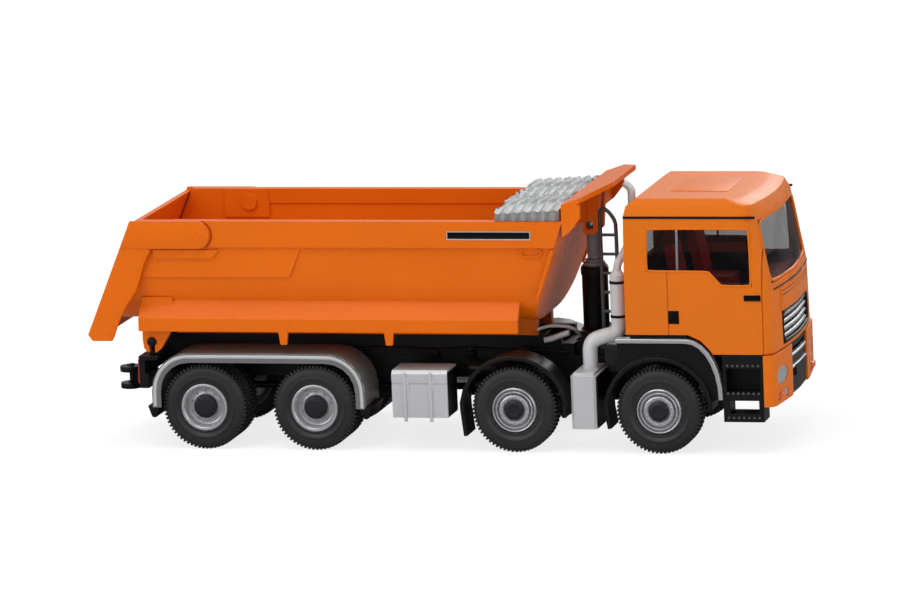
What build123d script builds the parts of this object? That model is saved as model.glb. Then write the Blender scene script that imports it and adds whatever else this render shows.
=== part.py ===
from build123d import *

import os
from math import cos, hypot, pi, radians, sin

# Scale model of a four axle tipper lorry, one eighty-seventh of real size, in millimetres.
# +X points to the nose, +Y to the left side and +Z up. The origin is on the floor, midway
# between the tail and the nose. The measures are those of an 8x4 tipper lorry divided by 87.

# Lengths, from the nose back to the tail
front_overhang = 17.5
steer_axle_spacing = 20.6
middle_axle_spacing = 28.8
tandem_axle_spacing = 16.1
rear_overhang = 16.4
overall_length = front_overhang + steer_axle_spacing + middle_axle_spacing + tandem_axle_spacing + rear_overhang
nose_x = overall_length / 2
tail_x = -overall_length / 2
axle_1_x = nose_x - front_overhang
axle_2_x = axle_1_x - steer_axle_spacing
axle_3_x = axle_2_x - middle_axle_spacing
axle_4_x = axle_3_x - tandem_axle_spacing

# Widths, from the middle to one side
vehicle_half_width = 14.0
wheel_inset = 0.1
wheel_face_y = vehicle_half_width - wheel_inset
guard_stand_out = 0.2
guard_half_width = vehicle_half_width + guard_stand_out

# Wheels. Every radius is to the middle of a flat side.
tyre_radius = 6.05
tyre_bore_radius = 3.3
tyre_width = 3.8
twin_tyre_width = 3.3
twin_tyre_gap = 0.7
tread_edge = 0.5
bead_inset = 0.35
rim_lip = 0.4
rim_groove = 0.45
groove_depth = 1.0
rear_dish_depth = 1.6
hub_radius = 1.3
hub_seat = 0.05
front_hub_proud = 0.15
rear_hub_sunk = 0.35
shaft_radius = 0.7
running_clearance = 0.08
wheel_sides = 20
shaft_sides = 12

# Frame of two channel rails, and the tipper subframe on top of it
frame_above_axle = 2.85
frame_bottom_z = tyre_radius + frame_above_axle
rail_height = 3.1
frame_top_z = frame_bottom_z + rail_height
frame_half_width = 4.9
rail_web = 0.7
rail_flange = 1.5
flange_thickness = 0.45
sill_height = 2.9
subframe_top_z = frame_top_z + sill_height
sill_width = 1.2
sill_inner_y = frame_half_width - sill_width

# Tipping hinge behind the last axle
hinge_setback = 7.5
hinge_x = axle_4_x - hinge_setback
hinge_above_sill = 0.3
hinge_z = subframe_top_z + hinge_above_sill
hinge_pin_radius = 0.6
frame_rear_x = hinge_x - 1.1
frame_front_x = nose_x - 2.2

# Cab
cab_behind_axle = 4.2
cab_rear_x = axle_1_x - cab_behind_axle
cab_half_width = vehicle_half_width
cab_wall = 0.75
cab_above_frame = 4.9
cab_bottom_z = frame_top_z + cab_above_frame
cab_height = 18.6
cab_roof_z = cab_bottom_z + cab_height
roof_camber = 2.2
cab_side_top_z = cab_roof_z - roof_camber
door_drop = 2.7
cab_door_bottom_z = cab_bottom_z - door_drop
belt_height = 8.8
cab_belt_z = cab_bottom_z + belt_height
cab_tumblehome = 0.75
nose_sweep = 0.9
windscreen_drop = 2.0
windscreen_bottom_z = cab_belt_z - windscreen_drop
windscreen_top_z = cab_side_top_z - 0.7
windscreen_half_width = cab_half_width - 2.1
side_window_top_z = cab_side_top_z - 1.6
glass_gap = 0.06

# Telescopic cylinder behind the cab
cylinder_behind_cab = 7.4
cylinder_x = cab_rear_x - cylinder_behind_cab
trunnion_sunk = 1.1
trunnion_z = subframe_top_z - trunnion_sunk
tube_radius = 1.84
tube_below_trunnion = 5.6
tube_above_trunnion = 10.3
stage_clearance = 0.05
stage_wall = 0.24
rod_radius = 0.93
eye_radius = 0.8
eye_half_length = 1.15
trunnion_pin_radius = 0.6
cheek_gap = 2.5
cheek_thickness = 0.9

# Bed
bed_stand_out = 0.1
bed_half_width = vehicle_half_width + bed_stand_out
bed_wall = 0.8
bed_above_sill = 2.5
trough_bottom_z = subframe_top_z + bed_above_sill
bed_depth = 15.3
rail_top_z = trough_bottom_z + bed_depth
rail_depth = 3.7
side_step = 0.3
fold_depth = 9.1
trough_floor_inset = 1.65
bed_seat_gap = 0.05
skirt_height = 3.7
skirt_top_z = trough_bottom_z + skirt_height
skirt_bottom_z = trough_bottom_z - 0.4
skirt_half_width = bed_half_width + 0.2
skirt_wall = 0.6
skirt_rear_x = hinge_x - 1.4
headboard_x = cylinder_x - 1.1
bed_front_high_x = headboard_x - 0.2
front_wall_lean = 5.3
bed_front_low_x = bed_front_high_x - front_wall_lean
skirt_front_x = bed_front_low_x - 1.3
headboard_depth = 2.6
headboard_rise = 2.4
headboard_top_z = rail_top_z + headboard_rise
visor_reach = 5.9
visor_rise = 2.0
visor_tip_half_width = 7.2
visor_thickness = 0.7
eye_z = rail_top_z - 2.6
lug_y = skirt_half_width - 2.05
lug_width = 1.15
hinge_post_width = 0.8
hinge_post_y = lug_y - lug_width / 2 - hinge_post_width / 2 - 0.08

# Tailgate, hung from arms at the top of the bed
tailgate_gap = 0.2
tailgate_plate = 0.8
tailgate_side_gap = 0.15
arm_thickness = 0.6
arm_inner_y = bed_half_width - side_step + tailgate_side_gap
arm_outer_y = arm_inner_y + arm_thickness
arm_half_height = 1.95
arm_pin_radius = 0.6
arm_pivot_x = axle_4_x + 0.3
arm_pivot_z = rail_top_z - arm_half_height
tailgate_top_x = axle_4_x - 9.4
tailgate_tail_x = tail_x + 0.1
tailgate_foot_z = trough_bottom_z - 0.9
tailgate_bottom_z = tailgate_foot_z - 0.9

# Mudguards, steps, bumper and the boxes along the frame
guard_gap = 1.7
guard_radius = tyre_radius + guard_gap
guard_wall = 0.6
guard_lip = 1.3
guard_depth = 4.6
twin_guard_depth = 7.8
twin_guard_bend = 5.5
step_rear_x = axle_1_x + 9.2
step_length = 5.7
step_front_x = step_rear_x + step_length
step_height = 9.5
step_bottom_z = cab_door_bottom_z - step_height
bumper_half_width = cab_half_width + 0.1
bumper_height = 7.2
bumper_top_z = cab_door_bottom_z - 0.15
bumper_bottom_z = bumper_top_z - bumper_height
bumper_gap = 5.2
box_top_z = frame_top_z - 0.4
box_height = 6.7
box_bottom_z = box_top_z - box_height
battery_length = 8.0
battery_depth = 5.4
battery_middle_x = (axle_2_x + axle_3_x) / 2 + 1.0
silencer_length = 3.7
silencer_depth = 7.8
silencer_front_x = axle_1_x - guard_radius - 0.95


def block(x, y, z):
    """A box from pairs of lowest and highest coordinates."""
    size = (x[1] - x[0], y[1] - y[0], z[1] - z[0])
    return Pos((x[0] + x[1]) / 2, (y[0] + y[1]) / 2, (z[0] + z[1]) / 2) * Box(*size)


def both_sides(shape):
    """A shape on the right side of the lorry, with its mirror image on the left."""
    return Compound(children=[*shape.solids(), *mirror(shape, about=Plane.XZ).solids()])


def with_mirror(shape):
    """A shape fused with its mirror image across the lorry."""
    return shape + mirror(shape, about=Plane.XZ)


def side_prism(points, y0, y1):
    """A side view outline of (x, z) points, extruded from y0 to y1."""
    face = Plane.XZ * make_face(Polyline(*points, close=True))
    return Pos(0, y1, 0) * extrude(face, y1 - y0)


def end_prism(points, x0, x1):
    """An end view outline of (y, z) points, extruded from x0 to x1."""
    face = Plane.YZ * make_face(Polyline(*points, close=True))
    return Pos(x0, 0, 0) * extrude(face, x1 - x0)


def flat_bar(x, z, radius, y0, y1, sides=shaft_sides):
    """A bar across the lorry with flat sides, a flat one lowest."""
    return spindle([(radius, y0), (radius, y1)], sides, x, z)


def spindle(stations, sides, x=0, z=0):
    """A many sided bar along Y that runs through stations of (radius, y), with a flat side lowest."""
    half_side = pi / sides
    angles = [half_side * (2 * number + 1) - pi / 2 for number in range(sides)]
    rings = [[(x + radius / cos(half_side) * cos(a), y, z + radius / cos(half_side) * sin(a)) for a in angles]
             for radius, y in stations]
    outlines = [rings[0][::-1], rings[-1]]
    for near, far in zip(rings, rings[1:]):
        outlines += [(near[k - 1], near[k], far[k], far[k - 1]) for k in range(sides)]
    return Solid(Shell([Face(Wire.make_polygon(outline)) for outline in outlines]))


def post(x, y, radius, z0, z1, sides=shaft_sides):
    """A many sided bar that stands upright, with a flat side towards the tail."""
    outline = RegularPolygon(radius, sides, major_radius=False, rotation=180 / sides)
    return Pos(x, y, z0) * extrude(outline, z1 - z0)


def bent_bar(points, radius, sides=8):
    """A many sided bar along a path of points."""
    section = Plane(origin=points[0], z_dir=Vector(*points[1]) - Vector(*points[0])) * RegularPolygon(radius, sides)
    return sweep(section, path=Polyline(*points), transition=Transition.RIGHT)


def arch_points(x, z, width, height, first, last, steps):
    """Points on a quarter or more of an ellipse about x and z, between two angles from +X towards +Z."""
    angles = [radians(first + (last - first) * step / steps) for step in range(steps + 1)]
    return [(x + width * cos(a), z + height * sin(a)) for a in angles]


def guard_strip(outer, thickness, y0, y1):
    """A strip of even thickness that follows a side view path of (x, z) points."""
    face = make_face(Plane.XY * offset(Polyline(*outer), amount=thickness, side=Side.RIGHT, closed=True))
    return Pos(0, y1, 0) * extrude(Plane.XZ * face, y1 - y0)


parts = {}

# Wheels: tyres, rims with a raised lip and a dish, and a shaft with a hub cap at each end.
# Single wheels steer on a real lorry and are fixed straight on this model. Twin wheels carry the rear.
twin_inner_y = -wheel_face_y + twin_tyre_width + twin_tyre_gap
rim_bore = hub_radius + hub_seat
lip_radius = tyre_bore_radius - rim_lip
groove_radius = lip_radius - rim_groove


def tyre(outer_y, width):
    """One tyre whose outer face is at outer_y on the right side."""
    inner_y = outer_y + width
    wall_top = tyre_radius - 1.1
    body = spindle([(tyre_bore_radius, outer_y + bead_inset), (wall_top, outer_y), (tyre_radius, outer_y + tread_edge),
                    (tyre_radius, inner_y - tread_edge), (wall_top, inner_y), (tyre_bore_radius, inner_y - bead_inset)],
                   wheel_sides)
    return body - spindle([(tyre_bore_radius, outer_y - 1), (tyre_bore_radius, inner_y + 1)], wheel_sides)


def rim_disc(outer_y, inner_y):
    """A disc that fills the tyre, with the bore for the hub."""
    disc = spindle([(tyre_bore_radius, outer_y), (tyre_bore_radius, inner_y)], wheel_sides)
    return disc - spindle([(rim_bore, outer_y - 1), (rim_bore, inner_y + 1)], wheel_sides)


face_y = -wheel_face_y + 0.1
front_rim = rim_disc(face_y, -wheel_face_y + tyre_width - bead_inset)
groove = spindle([(lip_radius, face_y - 1), (lip_radius, face_y + groove_depth)], wheel_sides)
groove -= spindle([(groove_radius, face_y + 0.05), (groove_radius, face_y + groove_depth + 1)], wheel_sides)
front_rim -= groove
rear_rim = rim_disc(face_y, -wheel_face_y + twin_tyre_width - bead_inset)
rear_rim -= spindle([(lip_radius, face_y - 1), (lip_radius, face_y + rear_dish_depth / 2),
                     (hub_radius + 0.5, face_y + rear_dish_depth)], wheel_sides)
inner_rim = rim_disc(twin_inner_y + 0.8, twin_inner_y + twin_tyre_width - bead_inset)
# Each row has the axle's name and x, its tyres and rims on one side, and where its hub cap ends.
wheel_table = (
    ("axle_1", axle_1_x, (tyre(-wheel_face_y, tyre_width),), (front_rim,), -wheel_face_y - front_hub_proud),
    ("axle_2", axle_2_x, (tyre(-wheel_face_y, tyre_width),), (front_rim,), -wheel_face_y - front_hub_proud),
    ("axle_3", axle_3_x, (tyre(-wheel_face_y, twin_tyre_width), tyre(twin_inner_y, twin_tyre_width)),
     (rear_rim, inner_rim), -wheel_face_y + rear_hub_sunk),
    ("axle_4", axle_4_x, (tyre(-wheel_face_y, twin_tyre_width), tyre(twin_inner_y, twin_tyre_width)),
     (rear_rim, inner_rim), -wheel_face_y + rear_hub_sunk))
for name, x, tyres, rims, cap_y in wheel_table:
    place = Pos(x, 0, tyre_radius)
    hub_end_y = -frame_half_width - 1.3
    half_shaft = spindle([(hub_radius - 0.35, cap_y), (hub_radius, cap_y + 0.35), (hub_radius, hub_end_y)], shaft_sides)
    half_shaft += spindle([(shaft_radius, hub_end_y), (shaft_radius, 0)], shaft_sides)
    parts[name + "_tyres"] = both_sides(place * Compound(children=list(tyres)))
    parts[name + "_rims"] = both_sides(place * Compound(children=list(rims)))
    parts[name + "_shaft"] = place * with_mirror(half_shaft)

# Frame: two channel rails with crossmembers, bearing hangers for the shafts and cab mounts.
frame_x = (frame_rear_x, frame_front_x)
rail = block(frame_x, (-frame_half_width, -frame_half_width + rail_web), (frame_bottom_z, frame_top_z))
for z in (frame_bottom_z, frame_top_z - flange_thickness):
    rail += block(frame_x, (-frame_half_width, -frame_half_width + rail_flange), (z, z + flange_thickness))
hanger_top_z = frame_bottom_z + 0.3
hanger_foot_z = tyre_radius - 1.2
for x in (axle_1_x, axle_2_x, axle_3_x, axle_4_x):
    hanger = side_prism([(x - 1.9, hanger_top_z), (x - 1.2, hanger_foot_z), (x + 1.2, hanger_foot_z),
                         (x + 1.9, hanger_top_z)], -frame_half_width, -frame_half_width + rail_web)
    rail += hanger - flat_bar(x, tyre_radius, shaft_radius + running_clearance, -frame_half_width - 1, 0)
for x in (cab_rear_x + 3.0, cab_rear_x + 15.0):
    rail += block((x - 1, x + 1), (-frame_half_width, -frame_half_width + rail_flange), (frame_top_z - 0.1, cab_bottom_z))
frame_body = with_mirror(rail)
inside_y = frame_half_width - rail_web + 0.05
for x in (frame_rear_x + 0.6, axle_4_x + 4.0, axle_3_x - 4.0, axle_3_x + 5.0, (axle_2_x + axle_3_x) / 2, axle_2_x - 4.0,
          axle_2_x + 5.0, frame_front_x - 0.6):
    frame_body += block((x - 0.6, x + 0.6), (-inside_y, inside_y), (frame_bottom_z + 0.2, frame_top_z - 0.3))
parts["chassis_frame"] = frame_body

# Tipper subframe: sills on the frame, carrying the tipping shaft across its rear end.
subframe_front_x = cylinder_x - 4.0
sill = block((frame_rear_x + 0.4, subframe_front_x), (-frame_half_width, -sill_inner_y), (frame_top_z, subframe_top_z))
ear = side_prism([(hinge_x - 1.0, subframe_top_z - 2.0), (hinge_x - 0.9, hinge_z + 0.5), (hinge_x - 0.4, hinge_z + 0.9),
                  (hinge_x + 0.4, hinge_z + 0.9), (hinge_x + 0.9, hinge_z + 0.5),
                  (hinge_x + 1.2, subframe_top_z - 2.0)], -frame_half_width, -frame_half_width + 0.9)
stand_bottom_z = hinge_z - 2.0
stand = side_prism([(hinge_x - 0.8, stand_bottom_z), (hinge_x - 0.7, hinge_z + 0.3), (hinge_x - 0.3, hinge_z + 0.75),
                    (hinge_x + 0.3, hinge_z + 0.75), (hinge_x + 0.7, hinge_z + 0.3), (hinge_x + 0.8, stand_bottom_z)],
                   -hinge_post_y - hinge_post_width / 2, -hinge_post_y + hinge_post_width / 2)
subframe = with_mirror(sill + ear) + with_mirror(stand)
for x in (hinge_x + 1.6, axle_4_x + 8.0, axle_3_x + 8.0, axle_2_x - 9.0, axle_2_x + 1.0):
    subframe += block((x - 0.7, x + 0.7), (-sill_inner_y - 0.1, sill_inner_y + 0.1), (frame_top_z, subframe_top_z - 0.6))
pin_end_y = lug_y + lug_width / 2 + 0.3
subframe += flat_bar(hinge_x, hinge_z, hinge_pin_radius, -pin_end_y, pin_end_y)
parts["tipper_subframe"] = subframe

# Rear crossbar with a lamp housing at each end, below the tipping shaft.
crossbar_half_width = vehicle_half_width - 0.8
crossbar_rear_x = hinge_x - 2.0
crossbar_bottom_z = hinge_z - 4.8
lamp_x = (crossbar_rear_x - 0.15, crossbar_rear_x + 0.5)
lamp_y = (-crossbar_half_width + 0.4, -crossbar_half_width + 4.6)
lamp_z = (hinge_z - 6.2, hinge_z - 2.4)
crossbar = block((crossbar_rear_x, frame_rear_x), (-crossbar_half_width, crossbar_half_width),
                 (crossbar_bottom_z, stand_bottom_z))
bar_end = block((crossbar_rear_x, hinge_x + 0.8), (-crossbar_half_width, -crossbar_half_width + 3.0),
                (stand_bottom_z - 0.6, stand_bottom_z))
bar_end += block((crossbar_rear_x, crossbar_rear_x + 1.4), (-crossbar_half_width, -crossbar_half_width + 5.0),
                 (lamp_z[0] - 0.4, crossbar_bottom_z + 0.2))
crossbar += with_mirror(bar_end)
crossbar -= with_mirror(block((lamp_x[0], lamp_x[1]), lamp_y, lamp_z))
parts["rear_crossbar"] = crossbar
parts["tail_lamps"] = both_sides(block(lamp_x, lamp_y, lamp_z))

# Towing jaw on a drawbar below the crossbar, with an upright pin hole.
jaw_radius = 1.5
jaw_hole_radius = 0.6
jaw_x = tail_x + jaw_radius
jaw_mid_z = frame_bottom_z - 1.3
jaw_half_height = 1.6
slot_half_height = 0.8
jaw_foot_z = (jaw_mid_z - slot_half_height, jaw_mid_z + slot_half_height)
jaw = block((jaw_x, frame_rear_x + 1.2), (-1.0, 1.0), jaw_foot_z)
jaw += post(jaw_x, 0, jaw_radius, jaw_mid_z - jaw_half_height, jaw_mid_z + jaw_half_height, 16)
jaw += block((frame_rear_x - 0.2, frame_rear_x + 1.2), (-1.0, 1.0), (jaw_foot_z[1] - 0.1, frame_bottom_z + 0.2))
jaw += block((crossbar_rear_x + 0.5, frame_rear_x), (-2.2, 2.2), (jaw_foot_z[0], crossbar_bottom_z))
jaw -= block((tail_x - 1, jaw_x + 0.9), (-2, 2), jaw_foot_z)
jaw_bore = Pos(jaw_x, 0, jaw_mid_z) * Cylinder(jaw_hole_radius, 4 * jaw_half_height)
parts["tow_coupling"] = jaw - jaw_bore

# Mudguards: long flat topped ones over the twin wheels, arches over the other wheels.
guard_reach = tyre_radius + 1.4
twin_guard_top_z = 2 * tyre_radius + guard_gap
twin_bend_z = twin_guard_top_z - twin_guard_bend
twin_rear_x = axle_4_x - guard_reach
twin_front_x = axle_3_x + guard_reach
twin_path = [(twin_rear_x, tyre_radius)]
twin_path += arch_points(twin_rear_x + twin_guard_bend, twin_bend_z, twin_guard_bend, twin_guard_bend, 180, 90, 5)
twin_path += arch_points(twin_front_x - twin_guard_bend, twin_bend_z, twin_guard_bend, twin_guard_bend, 90, 0, 5)
twin_path += [(twin_front_x, tyre_radius)]
twin_guard = guard_strip(twin_path, guard_wall, -guard_half_width, -guard_half_width + twin_guard_depth)
twin_guard += guard_strip(twin_path, guard_lip, -guard_half_width, -guard_half_width + 0.2)
guard_inner_y = -guard_half_width + twin_guard_depth
for x in (axle_4_x + 3.0, axle_3_x - 3.0):
    twin_guard += block((x - 0.5, x + 0.5), (guard_inner_y - 1.0, -frame_half_width),
                        (frame_top_z - 0.5, twin_guard_top_z - guard_wall + 0.1))
parts["rear_mudguards"] = both_sides(twin_guard)


def wheel_arch(x, rear_foot, front_foot):
    """A narrow mudguard about an axle at x, whose ends reach down to two heights above the floor."""
    path = [(x - guard_radius + 0.5, rear_foot), (x - guard_radius + 0.1, tyre_radius)]
    path += arch_points(x, tyre_radius, guard_radius, guard_radius, 172, 8, 12)
    path += [(x + guard_radius - 0.3, front_foot)]
    arch = guard_strip(path, guard_wall, -guard_half_width, -guard_half_width + guard_depth)
    bracket_z = tyre_radius + guard_radius - 0.3
    return arch + block((x - 0.5, x + 0.5), (-guard_half_width + guard_depth - 0.4, -frame_half_width),
                        (bracket_z - 1.3, bracket_z))


parts["second_axle_mudguards"] = both_sides(wheel_arch(axle_2_x, tyre_radius - 3.7, tyre_radius - 1.0))

# The cab's mudguards: an arch, a black fender panel over it and a silver trim along the panel's edge.
trim_top_z = cab_bottom_z - 0.6
trim_foot_z = tyre_radius + 1.75
trim_wall = 0.6
trim_width = 1.8
trim_rear_x = axle_1_x - 5.8
trim_bend_x = axle_1_x + 4.2


def trim_outline(inset):
    """The trim's outer edge as (x, z) points, moved inwards by inset."""
    bend = arch_points(trim_bend_x, trim_foot_z, 5.0 - inset, trim_top_z - trim_foot_z - inset, 90, 0, 7)
    return [(trim_rear_x, trim_top_z - inset)] + bend


trim_inner_y = -guard_half_width + trim_width
parts["mudguard_trims"] = both_sides(guard_strip(trim_outline(0), trim_wall, -guard_half_width, trim_inner_y))
arch_back = arch_points(axle_1_x, tyre_radius, guard_radius - 0.3, guard_radius - 0.3, 10, 140, 9)
fender = side_prism(trim_outline(trim_wall + 0.08) + arch_back, trim_inner_y - 0.8, trim_inner_y)
parts["cab_mudguards"] = both_sides(wheel_arch(axle_1_x, tyre_radius - 2.5, tyre_radius) + fender)

# Boxes between the second and third axles, the silencer and the exhaust stack.
battery_x = (battery_middle_x - battery_length / 2, battery_middle_x + battery_length / 2)
box_y = (-vehicle_half_width, -vehicle_half_width + battery_depth)
box_z = (box_bottom_z, box_top_z)
bearer_z = (frame_bottom_z + 0.5, frame_bottom_z + 1.4)
battery = block((battery_x[0] + 0.3, battery_x[1] - 0.3), (box_y[0] + 0.6, box_y[1]), (box_z[0] + 0.3, box_z[1] - 1.2))
for x in (battery_x[0] + 1.5, battery_x[1] - 1.5):
    battery += block((x - 0.5, x + 0.5), (box_y[1] - 0.1, -frame_half_width), bearer_z)
parts["battery_box"] = battery
cover = block(battery_x, box_y, box_z)
cover = chamfer(cover.edges().filter_by(Axis.X).group_by(Axis.Z)[-1].sort_by(Axis.Y)[0:1], 0.5)
cover -= block((battery_x[0] + 0.3, battery_x[1] - 0.3), (box_y[0] + 0.6, box_y[1] + 1), (box_z[0] - 1, box_z[1] - 1.2))
seam_z = box_top_z - 2.0
cover -= block((battery_x[0] - 1, battery_x[1] + 1), (box_y[0] - 1, box_y[0] + 0.15), (seam_z, seam_z + 0.2))
for x in (battery_x[0] + 2.2, battery_x[1] - 2.2):
    cover += block((x - 0.35, x + 0.35), (box_y[0] - 0.1, box_y[0] + 0.3), (seam_z - 0.9, seam_z + 0.9))
parts["battery_cover"] = cover

tank_half_length = battery_length / 2 + 1.0
tank = block((battery_middle_x - tank_half_length, battery_middle_x + tank_half_length), (-box_y[1], -box_y[0]),
             (box_bottom_z - 0.3, box_top_z + 0.2))
tank = chamfer(tank.edges().filter_by(Axis.X), 1.2)
for x in (battery_middle_x - 3.0, battery_middle_x + 3.0):
    tank += block((x - 0.4, x + 0.4), (frame_half_width, -box_y[1] + 0.1), bearer_z)
filler_x = battery_middle_x + 1.5
tank += post(filler_x, vehicle_half_width - 2.0, 0.8, box_top_z, box_top_z + 0.75)
parts["fuel_tank"] = tank

silencer_x = (silencer_front_x - silencer_length, silencer_front_x)
silencer_y = (-vehicle_half_width, -vehicle_half_width + silencer_depth)
silencer_z = (box_bottom_z - 1.4, box_top_z - 0.6)
silencer = block(silencer_x, silencer_y, silencer_z)
silencer = chamfer(silencer.edges().filter_by(Axis.Z), 0.45)
silencer += block((silencer_x[0] + 0.4, silencer_x[1] - 0.4), (silencer_y[0] + 0.4, silencer_y[1] - 0.4),
                  (silencer_z[1] - 0.1, silencer_z[1] + 0.4))
silencer += block((silencer_x[0] + 1.2, silencer_x[1] - 1.2), (silencer_y[1] - 0.1, -frame_half_width), bearer_z)
parts["silencer"] = silencer

stack_y = silencer_y[0] + 5.0
stack_x = cab_rear_x - 2.1
stack_radius = 0.95
pipe_radius = 0.66
riser_x = silencer_x[1] - 1.0
stack_foot_z = silencer_z[1] + 0.4
can_z = (cab_bottom_z + 0.3, cab_belt_z - 1.0)
stack = bent_bar([(riser_x, stack_y, stack_foot_z), (riser_x, stack_y, stack_foot_z + 1.6),
                  (riser_x + 0.5, stack_y, stack_foot_z + 2.5), (stack_x - 0.5, stack_y, can_z[0] - 2.2),
                  (stack_x, stack_y, can_z[0] - 1.3), (stack_x, stack_y, can_z[0] + 0.2)], pipe_radius)
stack += post(stack_x, stack_y, stack_radius, can_z[0], can_z[1])
tail_pipe_x = cab_rear_x - 1.1
tail_pipe_y = -2.6
stack += bent_bar([(stack_x, stack_y, can_z[1] - 0.2), (stack_x, stack_y, can_z[1] + 0.7),
                   (tail_pipe_x, stack_y + 0.8, can_z[1] + 1.8), (tail_pipe_x, tail_pipe_y - 0.9, can_z[1] + 3.8),
                   (tail_pipe_x, tail_pipe_y, can_z[1] + 5.0), (tail_pipe_x, tail_pipe_y, cab_roof_z - 0.3),
                   (tail_pipe_x - 0.3, tail_pipe_y, cab_roof_z + 0.4), (tail_pipe_x - 0.9, tail_pipe_y, cab_roof_z + 0.7)],
                  pipe_radius - 0.06)
parts["exhaust_stack"] = stack

# Ladder with a grab rail behind the cab.
ladder_y = -frame_half_width - 2.5
ladder_x = (cab_rear_x - 4.6, cab_rear_x - 2.35)
ladder_top_z = cab_side_top_z - 0.3
ladder_foot_z = frame_top_z + 2.3
foot_x = (ladder_x[0] - 0.5, ladder_x[1] + 0.5)
ladder = block(foot_x, (ladder_y - 0.5, -frame_half_width), (ladder_foot_z - 0.6, ladder_foot_z))
ladder += block(foot_x, (-frame_half_width - 0.6, -frame_half_width), (frame_top_z - 2.0, ladder_foot_z))
bar_radius = 0.29
for x in ladder_x:
    ladder += post(x, ladder_y, bar_radius, ladder_foot_z - 0.1, ladder_top_z, 8)
rung_count = 6
for number in range(rung_count):
    z = ladder_top_z - 0.4 - 3.06 * number
    ladder += Pos(ladder_x[0], ladder_y, z) * Rot(0, 90, 0) * extrude(RegularPolygon(bar_radius - 0.02, 6),
                                                                     ladder_x[1] - ladder_x[0])
parts["ladder"] = ladder

# Cylinder bracket: two cheeks with trunnion holes between crossmembers.
cheek_foot = (cylinder_x - 2.6, cylinder_x + 2.6)
cheek = side_prism([(cheek_foot[0], frame_top_z), (cylinder_x - 1.6, subframe_top_z + 0.4),
                    (cylinder_x + 1.6, subframe_top_z + 0.4), (cheek_foot[1], frame_top_z)], -3.6, -2.4)
bearer_top_z = frame_top_z + 1.8
cheek += block((cylinder_x - 4.0, cylinder_x - 2.2), (-frame_half_width, -2.4), (frame_top_z, bearer_top_z))
cheek += block((cylinder_x + 2.3, cylinder_x + 3.8), (-frame_half_width, -2.4), (frame_top_z, bearer_top_z))
cheek -= flat_bar(cylinder_x, trunnion_z, trunnion_pin_radius + running_clearance, -5, -1)
bracket = with_mirror(cheek)
bracket += block((cylinder_x - 4.0, cylinder_x - 2.9), (-2.5, 2.5), (frame_top_z, bearer_top_z - 0.2))
parts["cylinder_bracket"] = bracket

# Telescopic cylinder: a tube on trunnions, two sleeves and a rod that slide out of one another.
cylinder_sides = 16
base_radius = tube_radius + 0.3
tube_bottom_z = trunnion_z - tube_below_trunnion
tube_top_z = trunnion_z + tube_above_trunnion
tube_floor_z = tube_bottom_z + 0.5
tube = post(cylinder_x, 0, tube_radius, tube_floor_z, tube_top_z, cylinder_sides)
tube += post(cylinder_x, 0, base_radius, tube_bottom_z, trunnion_z + 1.5, cylinder_sides)
tube += flat_bar(cylinder_x, trunnion_z, 0.95, -2.3, 2.3)
tube += flat_bar(cylinder_x, trunnion_z, trunnion_pin_radius, -3.5, 3.5)
tube += post(cylinder_x, 0, tube_radius + 0.12, tube_top_z - 1.2, tube_top_z - 0.2, cylinder_sides)
bore_radius = tube_radius - stage_wall
parts["cylinder_tube"] = tube - post(cylinder_x, 0, bore_radius, tube_floor_z, tube_top_z + 1, cylinder_sides)
sleeve_radius = bore_radius - stage_clearance
for number in (1, 2):
    bottom = tube_floor_z + 0.35 * number
    top = tube_top_z + 0.45 * number
    inner_radius = sleeve_radius - stage_wall
    sleeve = post(cylinder_x, 0, sleeve_radius, bottom, top, cylinder_sides)
    parts[f"cylinder_stage_{number}"] = sleeve - post(cylinder_x, 0, inner_radius, bottom + 0.3, top + 1, cylinder_sides)
    sleeve_radius = inner_radius - stage_clearance
rod = post(cylinder_x, 0, rod_radius, tube_floor_z + 1.1, eye_z, cylinder_sides)
rod += flat_bar(cylinder_x, eye_z, eye_radius, -eye_half_length, eye_half_length)
parts["cylinder_rod"] = rod - flat_bar(cylinder_x, eye_z, eye_radius / 2, -2, 2)

# Bed: a half round trough with upright sides, a leaning front wall, skirts, lugs and a front visor.
trough_floor_half = 4.3
trough_curve_depth = 4.5
fold_z = rail_top_z - fold_depth
beyond_x = nose_x + 20
beyond_z = headboard_top_z + 5


def trough_solid(inset, top_z, x0, x1):
    """The trough's outline moved inwards by inset, as a bar from x0 to x1."""
    half = [(bed_half_width - side_step - inset, top_z), (bed_half_width - 0.7 - inset, fold_z)]
    half += arch_points(trough_floor_half, trough_bottom_z + trough_curve_depth,
                        bed_half_width - trough_floor_inset - trough_floor_half - inset, trough_curve_depth - inset,
                        -8, -90, 6)
    return end_prism(half + [(-y, z) for y, z in reversed(half)], x0, x1)


front_slope = front_wall_lean / (bed_depth - 0.7)


def front_cut(shift):
    """Everything ahead of the leaning front wall, moved forward by shift."""
    low_z = trough_bottom_z - 3.4
    low_x = bed_front_low_x + shift - front_slope * 3.4
    high_x = low_x + front_slope * (beyond_z - low_z)
    return side_prism([(low_x, low_z), (high_x, beyond_z), (beyond_x, beyond_z), (beyond_x, low_z)], -20, 20)


tailgate_slope = (tailgate_top_x - tailgate_tail_x) / (rail_top_z - tailgate_foot_z)
slant = hypot(1, tailgate_slope)


def tailgate_plane_x(z):
    """Where the outer face of the tailgate is at a height."""
    return tailgate_tail_x + tailgate_slope * (z - tailgate_foot_z)


def rear_cut(shift):
    """Everything behind a plane alongside the tailgate, moved forward by shift."""
    low_z, high_z = trough_bottom_z - 8, beyond_z
    return side_prism([(tailgate_plane_x(low_z) + shift, low_z), (tailgate_plane_x(high_z) + shift, high_z),
                       (tail_x - 20, high_z), (tail_x - 20, low_z)], -20, 20)


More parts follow.
